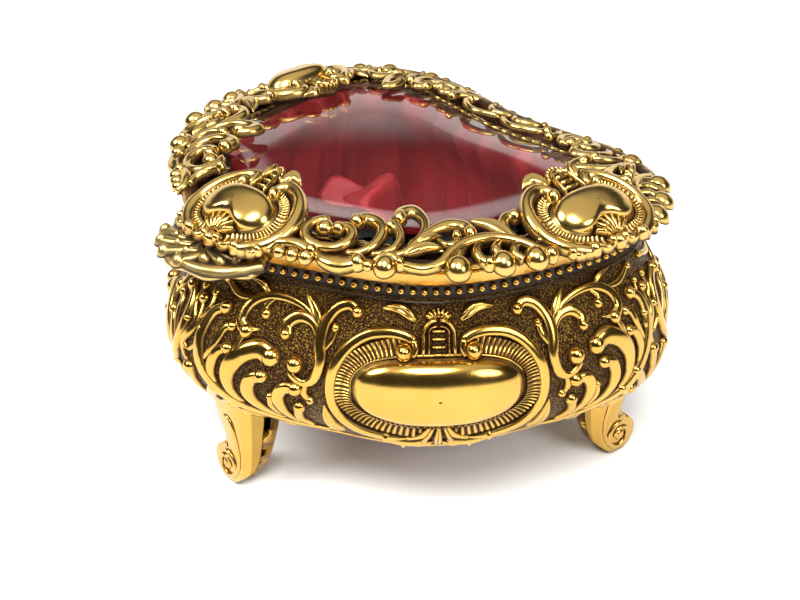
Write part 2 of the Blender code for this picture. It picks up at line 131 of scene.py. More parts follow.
def rim(run, inward, lift=0.0):
    """A point on the domed rim of the lid, lifted off it along its normal."""
    run, inward, lift = np.broadcast_arrays(np.asarray(run, float), np.asarray(inward, float),
                                            np.asarray(lift, float))
    flat, normal, _ = plan(run)
    height = np.interp(inward, RIM_TABLE[:, 0], RIM_TABLE[:, 1])
    slope = (np.interp(inward + 0.3, RIM_TABLE[:, 0], RIM_TABLE[:, 1])
             - np.interp(inward - 0.3, RIM_TABLE[:, 0], RIM_TABLE[:, 1])) / 0.6
    size = np.sqrt(1 + slope**2)
    xy = flat + normal * (lift * slope / size - inward)[..., None]
    return np.stack([xy[..., 0], xy[..., 1] + SHIFT_Y, height + lift / size], axis=-1)


def hoop_points(runs, offset, z):
    """A ring at this offset from the outline and this height."""
    flat, normal, _ = plan(runs)
    xy = flat + normal * np.asarray(offset)[..., None] if np.ndim(offset) else flat + normal * offset
    return np.stack([xy[..., 0], xy[..., 1] + SHIFT_Y, np.full(len(xy), z, float)], axis=-1)


# ---------------------------------------------------------------- mesh sheets with a "crest" attribute

class Cast:
    """Collects grids of points into one mesh. crest is 1 on polished high spots and 0 in dark recesses."""

    def __init__(self):
        self.points, self.crest, self.faces, self.count = [], [], [], 0

    def grid(self, rows, crest, wrap=False, cap_start=False, cap_end=False):
        """rows: (n, m, 3) points; wrap closes each row on itself."""
        n, m = rows.shape[:2]
        base = self.count
        self.points.append(rows.reshape(-1, 3))
        self.crest.append(np.broadcast_to(crest, (n, m)).reshape(-1))
        i, j = np.meshgrid(np.arange(n - 1), np.arange(m if wrap else m - 1), indexing="ij")
        k = (j + 1) % m
        quads = np.stack([i * m + j, i * m + k, (i + 1) * m + k, (i + 1) * m + j], axis=-1) + base
        self.faces += quads.reshape(-1, 4).tolist()
        if cap_start:
            self.faces.append([base + q for q in range(m)][::-1])
        if cap_end:
            self.faces.append([base + (n - 1) * m + q for q in range(m)])
        self.count += n * m

    def stroke(self, face, path, widths, height, bulb=0.0, groove=0.0, count=26, sink=0.35):
        """A ridge along a path on a face, as wide as (start, middle, end); bulb is the radius of the
        rounded head that ends it."""
        line = smooth(path, count)
        t = np.linspace(0.0, 1.0, count)
        width = np.interp(t, (0.0, 0.5, 1.0), widths)
        width = width * np.clip(t / 0.06, 0.3, 1.0)
        if not bulb:
            width = width * np.clip((1 - t) / 0.06, 0.35, 1.0)
        tall = height * np.clip(width / max(widths), 0.0, 1.0) ** 0.6
        along = np.gradient(line, axis=0)
        along /= np.linalg.norm(along, axis=1, keepdims=True) + 1e-9
        side = np.stack([-along[:, 1], along[:, 0]], axis=-1)
        around = np.linspace(0.0, math.pi, 9)
        across = np.cos(around)
        vein = groove * np.exp(-((across / 0.36) ** 2))
        spot = line[:, None, :] + side[:, None, :] * (across[None, :, None] * width[:, None, None] / 2)
        lift = tall[:, None] * (np.sin(around) ** 0.75 - vein)[None, :] - sink
        shine = np.clip(np.sin(around) ** 0.9 - vein, 0.0, 1.0)[None, :] * np.ones((count, 1))
        lift[0] = -sink
        shine[0] = 0.15
        if not bulb:
            lift[-1] = -sink
            shine[-1] = 0.15
        self.grid(face(spot[..., 0], spot[..., 1], lift), shine)
        if bulb:
            self.ball(face, line[-1], bulb, height * 1.22, sink)

    def ball(self, face, place, radius, height=None, sink=0.35):
        height = radius if height is None else height
        down = np.linspace(0.0, math.pi / 2, 7)
        turn = np.linspace(0.0, 2 * math.pi, 16, endpoint=False)
        spread = radius * np.sin(down)
        lift = height * np.cos(down) - sink
        spot_a = place[0] + spread[:, None] * np.cos(turn)
        spot_b = place[1] + spread[:, None] * np.sin(turn)
        self.grid(face(spot_a, spot_b, lift[:, None]), (np.cos(down) ** 0.5)[:, None], wrap=True)

    def leaf(self, face, path, width, height, vein=0.35):
        """A pointed leaf: widest at a third of its length, with a sunk vein."""
        line = smooth(path, 16)
        t = np.linspace(0.0, 1.0, 16)
        half = width / 2 * (np.sin(math.pi * t**0.75) ** 0.85 + 0.02)
        along = np.gradient(line, axis=0)
        along /= np.linalg.norm(along, axis=1, keepdims=True) + 1e-9
        side = np.stack([-along[:, 1], along[:, 0]], axis=-1)
        across = np.linspace(-1.0, 1.0, 9)
        spot = line[:, None, :] + side[:, None, :] * (across[None, :, None] * half[:, None, None])
        hump = (1 - across**2) ** 0.5 - vein * np.exp(-((across / 0.22) ** 2))
        tall = height * (np.sin(math.pi * t**0.75) ** 0.5)
        self.grid(face(spot[..., 0], spot[..., 1], tall[:, None] * hump[None, :] - 0.3),
                  np.clip(hump, 0.0, 1.0)[None, :] * np.ones((16, 1)))

    def object(self, name, look, body):
        mesh = bpy.data.meshes.new(name)
        points = np.concatenate(self.points) * MM
        mesh.from_pydata(points.tolist(), [], self.faces)
        mesh.attributes.new("crest", "FLOAT", "POINT").data.foreach_set("value", np.concatenate(self.crest))
        mesh.polygons.foreach_set("use_smooth", [True] * len(mesh.polygons))
        mesh.materials.append(look)
        bm = bmesh.new()
        bm.from_mesh(mesh)
        bmesh.ops.recalc_face_normals(bm, faces=bm.faces)
        bm.to_mesh(mesh)
        bm.free()
        made = bpy.data.objects.new(name, mesh)
        bpy.context.scene.collection.objects.link(made)
        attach(made, body)
        return made


def spiral(centre, radius_start, radius_end, angle_start, turns, count=14):
    """Points of a spiral about a centre; angles in degrees, turns positive anticlockwise."""
    a = np.radians(angle_start) + np.linspace(0.0, turns * 2 * math.pi, count)
    r = np.linspace(radius_start, radius_end, count)
    return np.stack([centre[0] + r * np.cos(a), centre[1] + r * np.sin(a)], axis=-1)


# ---------------------------------------------------------------- materials

def nodes_of(name):
    made = bpy.data.materials.new(name)
    made.use_nodes = True
    tree = made.node_tree
    return made, tree, tree.nodes["Principled BSDF"]


def add(tree, kind, **settings):
    node = tree.nodes.new(kind)
    for key, value in settings.items():
        if key in node.inputs:
            node.inputs[key].default_value = value
        else:
            setattr(node, key, value)
    return node


def feed(tree, source, socket):
    """Gives a socket its value: another node's output, a number or an (r, g, b) colour."""
    if isinstance(source, bpy.types.NodeSocket):
        tree.links.new(source, socket)
    else:
        socket.default_value = (*source, 1.0) if isinstance(source, tuple) else source


def texture(tree, kind, output, **settings):
    """The output of a procedural texture in the object's own space."""
    node = add(tree, kind, **settings)
    tree.links.new(add(tree, "ShaderNodeTexCoord").outputs["Object"], node.inputs["Vector"])
    return node.outputs[output]


def noise(tree, scale, detail, **settings):
    return texture(tree, "ShaderNodeTexNoise", "Fac", Scale=scale, Detail=detail, **settings)


def combine(tree, operation, *values, clamp=False):
    node = add(tree, "ShaderNodeMath", operation=operation, use_clamp=clamp)
    for value, socket in zip(values, node.inputs):
        feed(tree, value, socket)
    return node.outputs[0]


def remap(tree, value, low, high, to_low=0.0, to_high=1.0, kind="SMOOTHSTEP"):
    node = add(tree, "ShaderNodeMapRange", interpolation_type=kind)
    for name, number in (("From Min", low), ("From Max", high), ("To Min", to_low), ("To Max", to_high)):
        node.inputs[name].default_value = number
    tree.links.new(value, node.inputs["Value"])
    return node.outputs["Result"]


MIX_SHARE, MIX_LOW, MIX_HIGH, MIX_COLOUR = 0, 6, 7, 2


def mixed(tree, share, low, high):
    """A colour between low and high."""
    node = add(tree, "ShaderNodeMix", data_type="RGBA")
    feed(tree, share, node.inputs[MIX_SHARE])
    feed(tree, low, node.inputs[MIX_LOW])
    feed(tree, high, node.inputs[MIX_HIGH])
    return node.outputs[MIX_COLOUR]


def add_bump(tree, shader, height, strength, distance, invert=False):
    node = add(tree, "ShaderNodeBump", Strength=strength, Distance=distance, invert=invert)
    tree.links.new(height, node.inputs["Height"])
    tree.links.new(node.outputs["Normal"], shader.inputs["Normal"])


def occlusion_shade(tree, reach):
    """Ambient occlusion: 1 on open surfaces, lower in nooks narrower than the reach; multiplied into a
    colour, it paints shade.
    """
    return add(tree, "ShaderNodeAmbientOcclusion", samples=6, Distance=reach).outputs["AO"]


NOOK_REACH = 0.003
GRIME_SHARE, WEAR_MIDDLE = 0.5, 0.25
DEEPER_TONE = (0.82, 0.72, 0.5)
PATINA_ROUGHNESS, RUB_ROUGHNESS, PATINA_METAL = 0.5, 0.10, 0.75


def gilt(name, bright, dark, threshold, shine, spread=0.26):
    """Antique gilt: polished on open high spots, where crest is high, brown patina in the recesses, and
    painted shade in the nooks that ambient occlusion finds.
    """
    made, tree, shader = nodes_of(name)
    crest = add(tree, "ShaderNodeAttribute", attribute_name="crest").outputs["Fac"]
    # The crest attribute gives wear and patina; the occlusion factor adds painted shade in the nooks.
    worn_and_unshaded = combine(tree, "MULTIPLY", crest, occlusion_shade(tree, NOOK_REACH))
    grime = noise(tree, 420.0, 4.0, Roughness=0.6)
    height = combine(tree, "MULTIPLY_ADD", grime, GRIME_SHARE, worn_and_unshaded)
    middle = threshold + WEAR_MIDDLE
    wear_and_shade = remap(tree, height, middle - spread, middle + spread)
    deeper = tuple(part * share for part, share in zip(bright, DEEPER_TONE))
    warm = mixed(tree, noise(tree, 70.0, 3.0), bright, deeper)
    feed(tree, mixed(tree, wear_and_shade, dark, warm), shader.inputs["Base Color"])
    rub = noise(tree, 260.0, 5.0)
    rough = remap(tree, wear_and_shade, 0.0, 1.0, PATINA_ROUGHNESS, shine, "LINEAR")
    feed(tree, combine(tree, "MULTIPLY_ADD", rub, RUB_ROUGHNESS, rough), shader.inputs["Roughness"])
    feed(tree, remap(tree, wear_and_shade, 0.0, 1.0, PATINA_METAL, 1.0, "LINEAR"), shader.inputs["Metallic"])
    add_bump(tree, shader, rub, 0.25, 0.0002)
    return made


def stippled_ground():
    """The punched, matte brown-gold ground between the scrolls: dark, with gold glints painted on the dot
    tops, and painted shade that takes the glints away close to the relief.
    """
    made, tree, shader = nodes_of("stippled_ground")
    dots = texture(tree, "ShaderNodeTexVoronoi", "Distance", Scale=1900.0)
    peak = remap(tree, dots, 0.55, 0.12)
    amount = combine(tree, "MULTIPLY", peak, noise(tree, 120.0, 4.0), clamp=True)
    # Painted shade: the occlusion factor darkens the ground close to the relief.
    unshaded_part = remap(tree, occlusion_shade(tree, 2 * NOOK_REACH), 0.45, 0.98)
    glint = combine(tree, "MULTIPLY", amount, unshaded_part)
    feed(tree, mixed(tree, glint, (0.035, 0.013, 0.002), (0.62, 0.38, 0.055)), shader.inputs["Base Color"])
    shader.inputs["Metallic"].default_value = 0.85
    shader.inputs["Roughness"].default_value = 0.42
    add_bump(tree, shader, dots, 0.9, 0.0005, invert=True)
    return made


def velvet():
    """Crimson pile with a patchy nap and a faint red sheen."""
    made, tree, shader = nodes_of("red_velvet")
    nap = noise(tree, 55.0, 4.0, Distortion=0.6)
    feed(tree, mixed(tree, nap, (0.06, 0.0004, 0.0015), (0.32, 0.002, 0.006)), shader.inputs["Base Color"])
    shader.inputs["Roughness"].default_value = 0.7
    shader.inputs["Sheen Weight"].default_value = 0.07
    shader.inputs["Sheen Roughness"].default_value = 0.35
    shader.inputs["Sheen Tint"].default_value = (0.8, 0.06, 0.09, 1.0)
    add_bump(tree, shader, noise(tree, 2600.0, 3.0), 0.4, 0.0002)
    return made


def glass():
    """Clear glass. Rays from the lamps pass straight through it, so that they reach the velvet."""
    made, tree, shader = nodes_of("bevelled_glass")
    link = tree.links.new
    shader.inputs["Base Color"].default_value = (0.985, 0.99, 0.985, 1.0)
    shader.inputs["Roughness"].default_value = 0.0
    shader.inputs["IOR"].default_value = 1.5
    shader.inputs["Transmission Weight"].default_value = 1.0
    clear = add(tree, "ShaderNodeBsdfTransparent")
    path = add(tree, "ShaderNodeLightPath")
    mixer = add(tree, "ShaderNodeMixShader")
    link(path.outputs["Is Shadow Ray"], mixer.inputs["Fac"])
    link(shader.outputs[0], mixer.inputs[1])
    link(clear.outputs[0], mixer.inputs[2])
    link(mixer.outputs[0], tree.nodes["Material Output"].inputs["Surface"])
    return made


ROUGHNESS_RANGE = 0.2


def plain(name, low, high, metallic, roughness, scale, bump_strength=0.2):
    """A two-tone material with one noise for its colour, roughness and bump."""
    made, tree, shader = nodes_of(name)
    grain = noise(tree, scale, 5.0)
    feed(tree, mixed(tree, grain, low, high), shader.inputs["Base Color"])
    shader.inputs["Metallic"].default_value = metallic
    rough = combine(tree, "MULTIPLY_ADD", grain, ROUGHNESS_RANGE, roughness - ROUGHNESS_RANGE / 2)
    feed(tree, rough, shader.inputs["Roughness"])
    add_bump(tree, shader, grain, bump_strength, 0.0003)
    return made


GOLD = (0.62, 0.395, 0.10)
RIM_GOLD = (0.66, 0.455, 0.15)
PALE_GOLD = (0.62, 0.47, 0.20)
# Dark tones of the recesses: brown patina, with painted shade where the nooks are.
PATINA_AND_SHADE = (0.04, 0.012, 0.002)
PALE_PATINA_AND_SHADE = (0.07, 0.045, 0.02)
LOOKS = {
    "relief": gilt("gilt_relief", GOLD, PATINA_AND_SHADE, threshold=0.42, shine=0.12),
    "rim": gilt("gilt_rim", RIM_GOLD, PATINA_AND_SHADE, threshold=0.32, shine=0.15),
    "smooth": gilt("gilt_smooth", GOLD, PATINA_AND_SHADE, threshold=0.3, shine=0.12, spread=0.2),
    "pale": gilt("gilt_pale", PALE_GOLD, PALE_PATINA_AND_SHADE, threshold=0.42, shine=0.26),
    # The near-black strip behind the beads is painted shade in their channel.
    "groove": plain("painted_shade_groove", (0.008, 0.004, 0.002), (0.03, 0.014, 0.005), 0.5, 0.45, 300.0),
    "ground": stippled_ground(),
    "velvet": velvet(),
    "glass": glass(),
    "steel": plain("steel", (0.35, 0.34, 0.33), (0.6, 0.59, 0.57), 1.0, 0.35, 500.0),
    "brass": plain("hinge_brass", (0.42, 0.26, 0.08), (0.72, 0.50, 0.18), 1.0, 0.32, 300.0),
    "felt": plain("base_felt", (0.05, 0.006, 0.01), (0.12, 0.015, 0.02), 0.0, 0.9, 900.0, 0.6),
    "board": plain("card_board", (0.30, 0.21, 0.13), (0.45, 0.34, 0.22), 0.0, 0.85, 400.0),
}

# ---------------------------------------------------------------- wall

CORNER_RUN = 116.0
CORNERS = (0.0, CORNER_RUN, -CORNER_RUN)
FULL_HALF_PANEL = 58.0
# Each panel as (name, run of its middle, half its length).
PANELS = (
    ("right", 58.6, FULL_HALF_PANEL),
    ("left", -58.6, FULL_HALF_PANEL),
    ("back", PERIMETER / 2, PERIMETER / 2 - CORNER_RUN),
)
FRAME_REACH = 25.0
# Half a panel of foliage: (points as (distance from the panel's centre, height)), widths, height, ball.
FOLIAGE = (
    (((33.8, 47.2), (33.2, 44.9), (30.4, 43.4), (27.7, 45.2), (26.6, 49.3), (27.3, 53.2), (26.8, 57.0),
      (24.6, 60.2), (21.6, 61.4), (19.6, 60.2)), (1.2, 2.2, 1.4), 1.6, 1.3),
    (((27.2, 52.0), (29.3, 56.2), (32.8, 57.4), (35.6, 55.8), (35.6, 53.6)), (1.0, 2.0, 1.9), 1.6, 1.2),
    (((28.2, 55.4), (31.5, 58.8), (36.5, 60.4), (41.8, 60.2), (45.8, 58.0), (47.0, 54.8), (45.0, 52.8)),
     (1.0, 1.5, 1.8), 1.5, 1.4),
    (((39.6, 60.2), (41.6, 58.4), (41.2, 56.8)), (0.9, 1.2, 1.0), 1.3, 1.1),
    (((44.5, 59.2), (49.5, 59.2), (54.5, 61.2)), (0.9, 1.3, 0.7), 1.2, 0.9),
    (((24.0, 27.0), (33.0, 28.3), (39.0, 30.3), (44.4, 32.4), (48.8, 35.2), (52.4, 39.4), (54.8, 44.4),
      (55.6, 50.0), (54.4, 54.4), (51.6, 56.0)), (1.4, 2.2, 1.3), 1.8, 1.3),
    (((45.2, 33.4), (47.8, 38.0), (47.8, 43.4), (45.2, 47.8), (41.2, 49.8), (38.2, 48.6)), (1.3, 3.0, 2.6),
     2.0, 1.9),
    (((36.0, 29.6), (41.2, 33.8), (43.6, 38.2), (42.8, 42.4), (40.2, 43.8)), (1.2, 2.3, 1.7), 1.7, 1.4),
    (((32.6, 28.6), (35.6, 33.2), (36.8, 38.2), (35.2, 41.4), (32.4, 41.6)), (1.2, 2.3, 1.7), 1.7, 1.5),
    (((30.0, 28.4), (32.6, 32.4), (32.0, 36.0)), (1.1, 1.7, 1.3), 1.5, 1.3),
    (((39.6, 30.4), (44.5, 28.2), (49.0, 29.4), (50.2, 31.8)), (1.0, 1.8, 1.4), 1.5, 1.2),
    (((48.8, 35.2), (51.4, 39.4), (51.8, 43.6), (50.4, 47.4), (48.4, 48.6)), (1.0, 1.7, 1.3), 1.5, 1.2),
    (((54.6, 43.0), (51.8, 48.0), (50.4, 52.0), (48.6, 53.0)), (1.0, 1.4, 1.0), 1.3, 1.0),
    (((26.6, 51.0), (24.9, 53.8), (24.2, 56.4)), (0.9, 1.3, 0.9), 1.2, 0.9),
    (((37.4, 31.2), (38.8, 35.4), (38.6, 38.4)), (0.8, 1.2, 0.9), 1.2, 0.8),
    (((29.4, 44.0), (30.4, 41.0), (29.0, 38.8)), (0.8, 1.3, 0.9), 1.2, 0.9),
)
# Leaves: (base, middle, tip), width.
LEAVES = (
    (((27.9, 55.8), (29.8, 59.2), (32.6, 62.4)), 2.7),
    (((22.4, 28.4), (24.9, 32.2), (25.9, 38.2)), 4.3),
    (((33.6, 28.0), (37.2, 26.0), (41.6, 26.0)), 2.4),
    (((41.0, 60.4), (44.0, 62.6), (48.0, 62.8)), 1.8),
    (((47.6, 44.0), (45.4, 52.0), (41.6, 53.8)), 1.9),
)
CABOCHON, CABOCHON_Z, CABOCHON_RISE = (18.4, 7.9), 44.2, 3.2
RIBS, RIB_COUNT = ((19.4, 9.0), (23.2, 12.4)), 92
RIDGE = ((5.6, 54.6), (6.4, 56.2), (9.2, 57.0), (12.6, 57.0), (16.6, 56.0), (20.2, 53.4), (22.8, 49.4),
         (23.9, 44.6), (23.5, 39.4), (21.4, 35.0), (17.8, 31.8), (12.2, 30.0), (6.4, 29.2))
# How much the strokes' start, middle and end are thickened, and the foliage's height and balls.
WALL_WEIGHT, RIM_WEIGHT = (1.1, 1.45, 1.8), (1.15, 1.5, 1.75)
FOLIAGE_HEIGHT, FOLIAGE_BULB = 1.1, 1.25


def weighted(widths, weight):
    return tuple(w * k for w, k in zip(widths, weight))


def superellipse(half, power, angle):
    c, s = np.cos(angle), np.sin(angle)
    return half[0] * np.sign(c) * np.abs(c) ** (2 / power), half[1] * np.sign(s) * np.abs(s) ** (2 / power)


def cabochon(cast, face, centre, half, rise, power=2.7, dent=0.0):
    """A smooth domed boss with a thin step round it; dent pulls its lower middle up."""
    angle = np.linspace(0.0, 2 * math.pi, 96, endpoint=False)
    shares = np.array([1.05, 1.045, 1.0, 0.97, 0.9, 0.78, 0.62, 0.44, 0.24, 0.02])
    lifts = rise * np.array([-0.15, 0.16, 0.18, 0.36, 0.6, 0.8, 0.92, 0.98, 1.0, 1.0])
    a, b = superellipse(half, power, angle)
    rows_a = centre[0] + shares[:, None] * a
    lower = np.clip(-b / half[1], 0.0, 1.0) * np.exp(-((a / (half[0] * 0.38)) ** 2))
    rows_b = centre[1] + shares[:, None] * (b + dent * lower)
    crest = np.clip(np.array([0.0, 0.5, 0.3, 0.8, 1, 1, 1, 1, 1, 1]), 0, 1)[:, None]
    cast.grid(face(rows_a, rows_b, lifts[:, None]), crest, wrap=True)


def ribbed_border(cast, face, centre, inner, outer, count, gap_top=0.0, height=0.5):
    """Radial flutes between two ovals, left out around the top."""
    steps = count * 6
    start = math.pi / 2 + gap_top
    angle = np.linspace(start, start + 2 * math.pi - 2 * gap_top, steps)
    ripple = 0.5 + 0.5 * np.cos(np.linspace(0.0, count * 2 * math.pi, steps))
    inner_a, inner_b = superellipse(inner, 2.5, angle)
    outer_a, outer_b = superellipse(outer, 2.3, angle)
    share = np.linspace(0.0, 1.0, 6)[:, None]
    rows_a = centre[0] + inner_a * (1 - share) + outer_a * share
    rows_b = centre[1] + inner_b * (1 - share) + outer_b * share
    dish = 0.5 * np.sin(share * math.pi)
    lift = 0.55 + height * ripple[None, :] - dish
    cast.grid(face(rows_a, rows_b, lift), 0.12 + 0.72 * ripple[None, :] * np.ones((6, 1)))


def ladder(cast, face, centre, low, high, half, rungs=4, height=1.5):
    """The small arched grille at the head of a cartouche."""
    for side in (-1, 1):
        for inset, width in ((0.0, 1.05), (1.25, 0.5)):
            x = centre + side * (half - inset)
            cast.stroke(face, ((x, low), (x, (low + high) / 2), (x, high - half * 0.5),
                               (centre + side * (half - inset) * 0.6, high - inset * 0.8),
                               (centre, high + 0.4 - inset)), (width, width, width), height, count=14)
    for k in range(rungs):
        z = low + 0.8 + k * (high - low - 2.6) / (rungs - 1)
        cast.stroke(face, ((centre - half + 1.4, z), (centre + half - 1.4, z)), (0.7, 0.7, 0.7),
                    height * 0.75, count=6)


def crown(cast, face, centre, base, reach, count=7, spread=1.15, width=1.2):
    """A fan of small leaflets with a bead at each tip."""
    for k in range(count):
        turn = (k - (count - 1) / 2) / ((count - 1) / 2) * spread
        tip = (centre + reach * math.sin(turn) * 1.5, base + reach * math.cos(turn))
        foot = (centre + reach * math.sin(turn) * 0.8, base + 0.2)
        cast.stroke(face, (foot, tip), (width * 0.7, width, width * 0.7), 1.0, bulb=width * 0.42, count=8)


def cartouche(cast, s0):
    """The big framed boss in the middle of a panel."""
    def on(a, b, lift=0.0):
        return wall(s0 + np.asarray(a), b, lift)

    cabochon(cast, on, (0.0, CABOCHON_Z), CABOCHON, CABOCHON_RISE)
    ribbed_border(cast, on, (0.0, CABOCHON_Z + 0.4), *RIBS, RIB_COUNT, gap_top=0.22)
    outline_angle = np.linspace(0.0, 2 * math.pi, 60)
    line = np.stack(superellipse((19.3, 8.9), 2.6, outline_angle), axis=-1) + (0.0, CABOCHON_Z)
    cast.stroke(on, line, (0.8, 0.8, 0.8), 0.9, count=120)
    for side in (-1, 1):
        ridge = [(side * a, b) for a, b in RIDGE]
        cast.stroke(on, ridge, (2.3, 2.9, 2.2), 2.1, groove=0.12, count=60)
        cast.stroke(on, ((6.0 * side, 56.4), (5.2 * side, 54.2), (6.0 * side, 52.4)), (2.0, 1.7, 1.4), 2.0,
                    count=10)
        cast.ball(on, (7.7 * side, 53.6), 2.15, 3.2)
        cast.leaf(on, ((5.2 * side, 59.6), (9.5 * side, 62.0), (14.4 * side, 61.6)), 2.8, 1.6)
        cast.stroke(on, ((1.6 * side, 36.2), (3.4 * side, 33.0), (7.6 * side, 30.4)), (0.9, 1.5, 0.9), 2.0,
                    count=14)
        cast.stroke(on, ((1.0 * side, 36.2), (2.2 * side, 33.0), (3.8 * side, 29.6)), (0.8, 1.3, 0.9), 2.2,
                    count=12)
        cast.stroke(on, ((2.0 * side, 29.8), (6.0 * side, 28.0), (10.4 * side, 28.6), (12.0 * side, 30.2)),
                    (1.6, 2.2, 1.7), 1.9, bulb=1.2)
        cast.stroke(on, ((1.0 * side, 28.6), (4.4 * side, 26.6), (8.4 * side, 26.4)), (1.2, 1.8, 1.0), 1.6,
                    bulb=0.9)
    cast.leaf(on, ((0.0, 27.6), (0.0, 32.0), (0.0, 36.8)), 2.4, 2.4)
    ladder(cast, on, 0.0, 52.4, 59.6, 3.5)
    crown(cast, on, 0.0, 60.0, 2.1)


def panel(centre, half_length):
    cast = Cast()
    cartouche(cast, centre)
    stretch = (half_length - FRAME_REACH) / (FULL_HALF_PANEL - FRAME_REACH)

    def spread(points, side):
        return [(centre + side * (u if u < FRAME_REACH else FRAME_REACH + (u - FRAME_REACH) * stretch), z)
                for u, z in points]

    for side in (-1, 1):
        for points, widths, height, bulb in FOLIAGE:
            cast.stroke(wall, spread(points, side), weighted(widths, WALL_WEIGHT),
                        height * FOLIAGE_HEIGHT, bulb=bulb * FOLIAGE_BULB, groove=0.1)
        cast.ball(wall, spread([(32.4, 47.8)], side)[0], 2.2, 3.0)
        for points, width in LEAVES:
            cast.leaf(wall, spread(points, side), width, 1.6)
    return cast


def corner_fan(cast, s0):
    """The acanthus over each foot."""
    for k in range(-3, 4):
        turn = math.radians(k * 25.0)
        reach = 16.5 - abs(k) * 1.6
        path = [(s0 + reach * f * math.sin(turn * (0.55 + 0.55 * f)),
                 23.6 + reach * f * math.cos(turn * 0.8) * 0.98) for f in (0.05, 0.35, 0.7, 1.0)]
        cast.stroke(wall, path, (1.4, 2.9, 3.2), 1.7, bulb=1.6, groove=0.2)
    cast.stroke(wall, ((s0, 40.5), (s0 - 1.8, 45.5), (s0 + 0.6, 50.5), (s0 - 0.4, 55.5)),
                (1.2, 2.4, 1.2), 1.7, bulb=1.3, groove=0.2)
    for side in (-1, 1):
        cast.stroke(wall, ((s0, 44.0), (s0 + 2.8 * side, 47.2), (s0 + 2.6 * side, 50.4)), (0.9, 1.6, 1.1),
                    1.4, bulb=1.1)
        cast.stroke(wall, ((s0, 51.0), (s0 + 2.6 * side, 54.4), (s0 + 2.2 * side, 57.6)), (0.9, 1.5, 1.0),
                    1.3, bulb=1.0)


# (offset, height) over the neck and down the inside of the wall to the flange.
NECK_PROFILE = (
    (-4.9, 64.1), (-4.7, 64.4), (-5.6, 64.8), (-5.7, 68.2), (-4.9, 68.5), (-4.8, 68.9), (-5.4, 69.0),
    (-6.6, 69.0), (-6.9, 68.0), (-7.2, 62.0), (-5.6, 55.0), (-1.2, 45.0), (-1.2, 36.0), (-3.4, 29.0),
    (-8.4, 24.5), (-14.0, 22.0), (-20.6, 22.0), (-20.6, 20.0),
)
GROOVE_PROFILE = ((-4.6, 63.9), (-5.3, 64.5), (-5.4, 66.2), (-5.3, 68.4), (-4.6, 69.1))
WALL_ROWS = 60
SKIRT_Z = 22.4
BEAD_PITCH, BEAD_OFFSET, BEAD_Z, BEAD_RADIUS, BEAD_RISE = 2.9, -5.5, 66.4, 1.0, 1.45


def closed_runs(count):
    """Evenly spaced runs once round the outline."""
    return np.linspace(-PERIMETER / 2, PERIMETER / 2, count + 1)[:-1]


def make_ground():
    runs = closed_runs(480)
    outside = [wall(runs, z) for z in (*np.linspace(20.0, 63.4, WALL_ROWS), 63.8)]
    inside = [hoop_points(runs, offset, z) for offset, z in NECK_PROFILE]
    rows = np.stack(outside + inside + outside[:1])
    crest = np.full(len(rows), 0.2)
    crest[:3] = 0.7
    crest[WALL_ROWS + 1:WALL_ROWS + 3] = 0.85
    crest[WALL_ROWS + 5:WALL_ROWS + 8] = 0.8
    ground = Cast()
    ground.grid(rows, crest[:, None], wrap=True)
    shell = ground.object("wall_ground", LOOKS["ground"], "base")
    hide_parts("body_shell")


def make_beads():
    beads = Cast()
    number = round(PERIMETER / BEAD_PITCH)

    def band(run, z, lift=0.0):
        flat, normal, _ = plan(run)
        xy = flat + normal * (BEAD_OFFSET + np.asarray(lift))[..., None]
        return np.stack([xy[..., 0], xy[..., 1] + SHIFT_Y, np.broadcast_to(z, xy[..., 0].shape)], axis=-1)

    for k in range(number):
        beads.ball(band, (k * PERIMETER / number, BEAD_Z), BEAD_RADIUS, BEAD_RISE, sink=0.1)
    beads.object("bead_row", LOOKS["relief"], "base")


def make_wall():
    make_ground()
    for name, centre, half in PANELS:
        made = panel(centre, half).object(f"wall_relief_{name}", LOOKS["relief"], "base")
    trim = Cast()
    for corner in CORNERS:
        corner_fan(trim, corner)
    skirt = [(run, SKIRT_Z) for run in np.linspace(-PERIMETER / 2, PERIMETER / 2, 361)]
    trim.stroke(wall, skirt, (1.4, 1.4, 1.4), 1.0, count=481)
    trim.object("wall_corners", LOOKS["relief"], "base")
    # A dark strip behind the beads paints the shade in their channel.
    groove = Cast()
    groove.grid(np.stack([hoop_points(closed_runs(480), o, z) for o, z in GROOVE_PROFILE]), 0.0, wrap=True)
    groove.object("bead_groove", LOOKS["groove"], "base")
    make_beads()


# ---------------------------------------------------------------- lid rim

TIP_MEDALLION, LOBE_MEDALLION = 5.6, 100.8
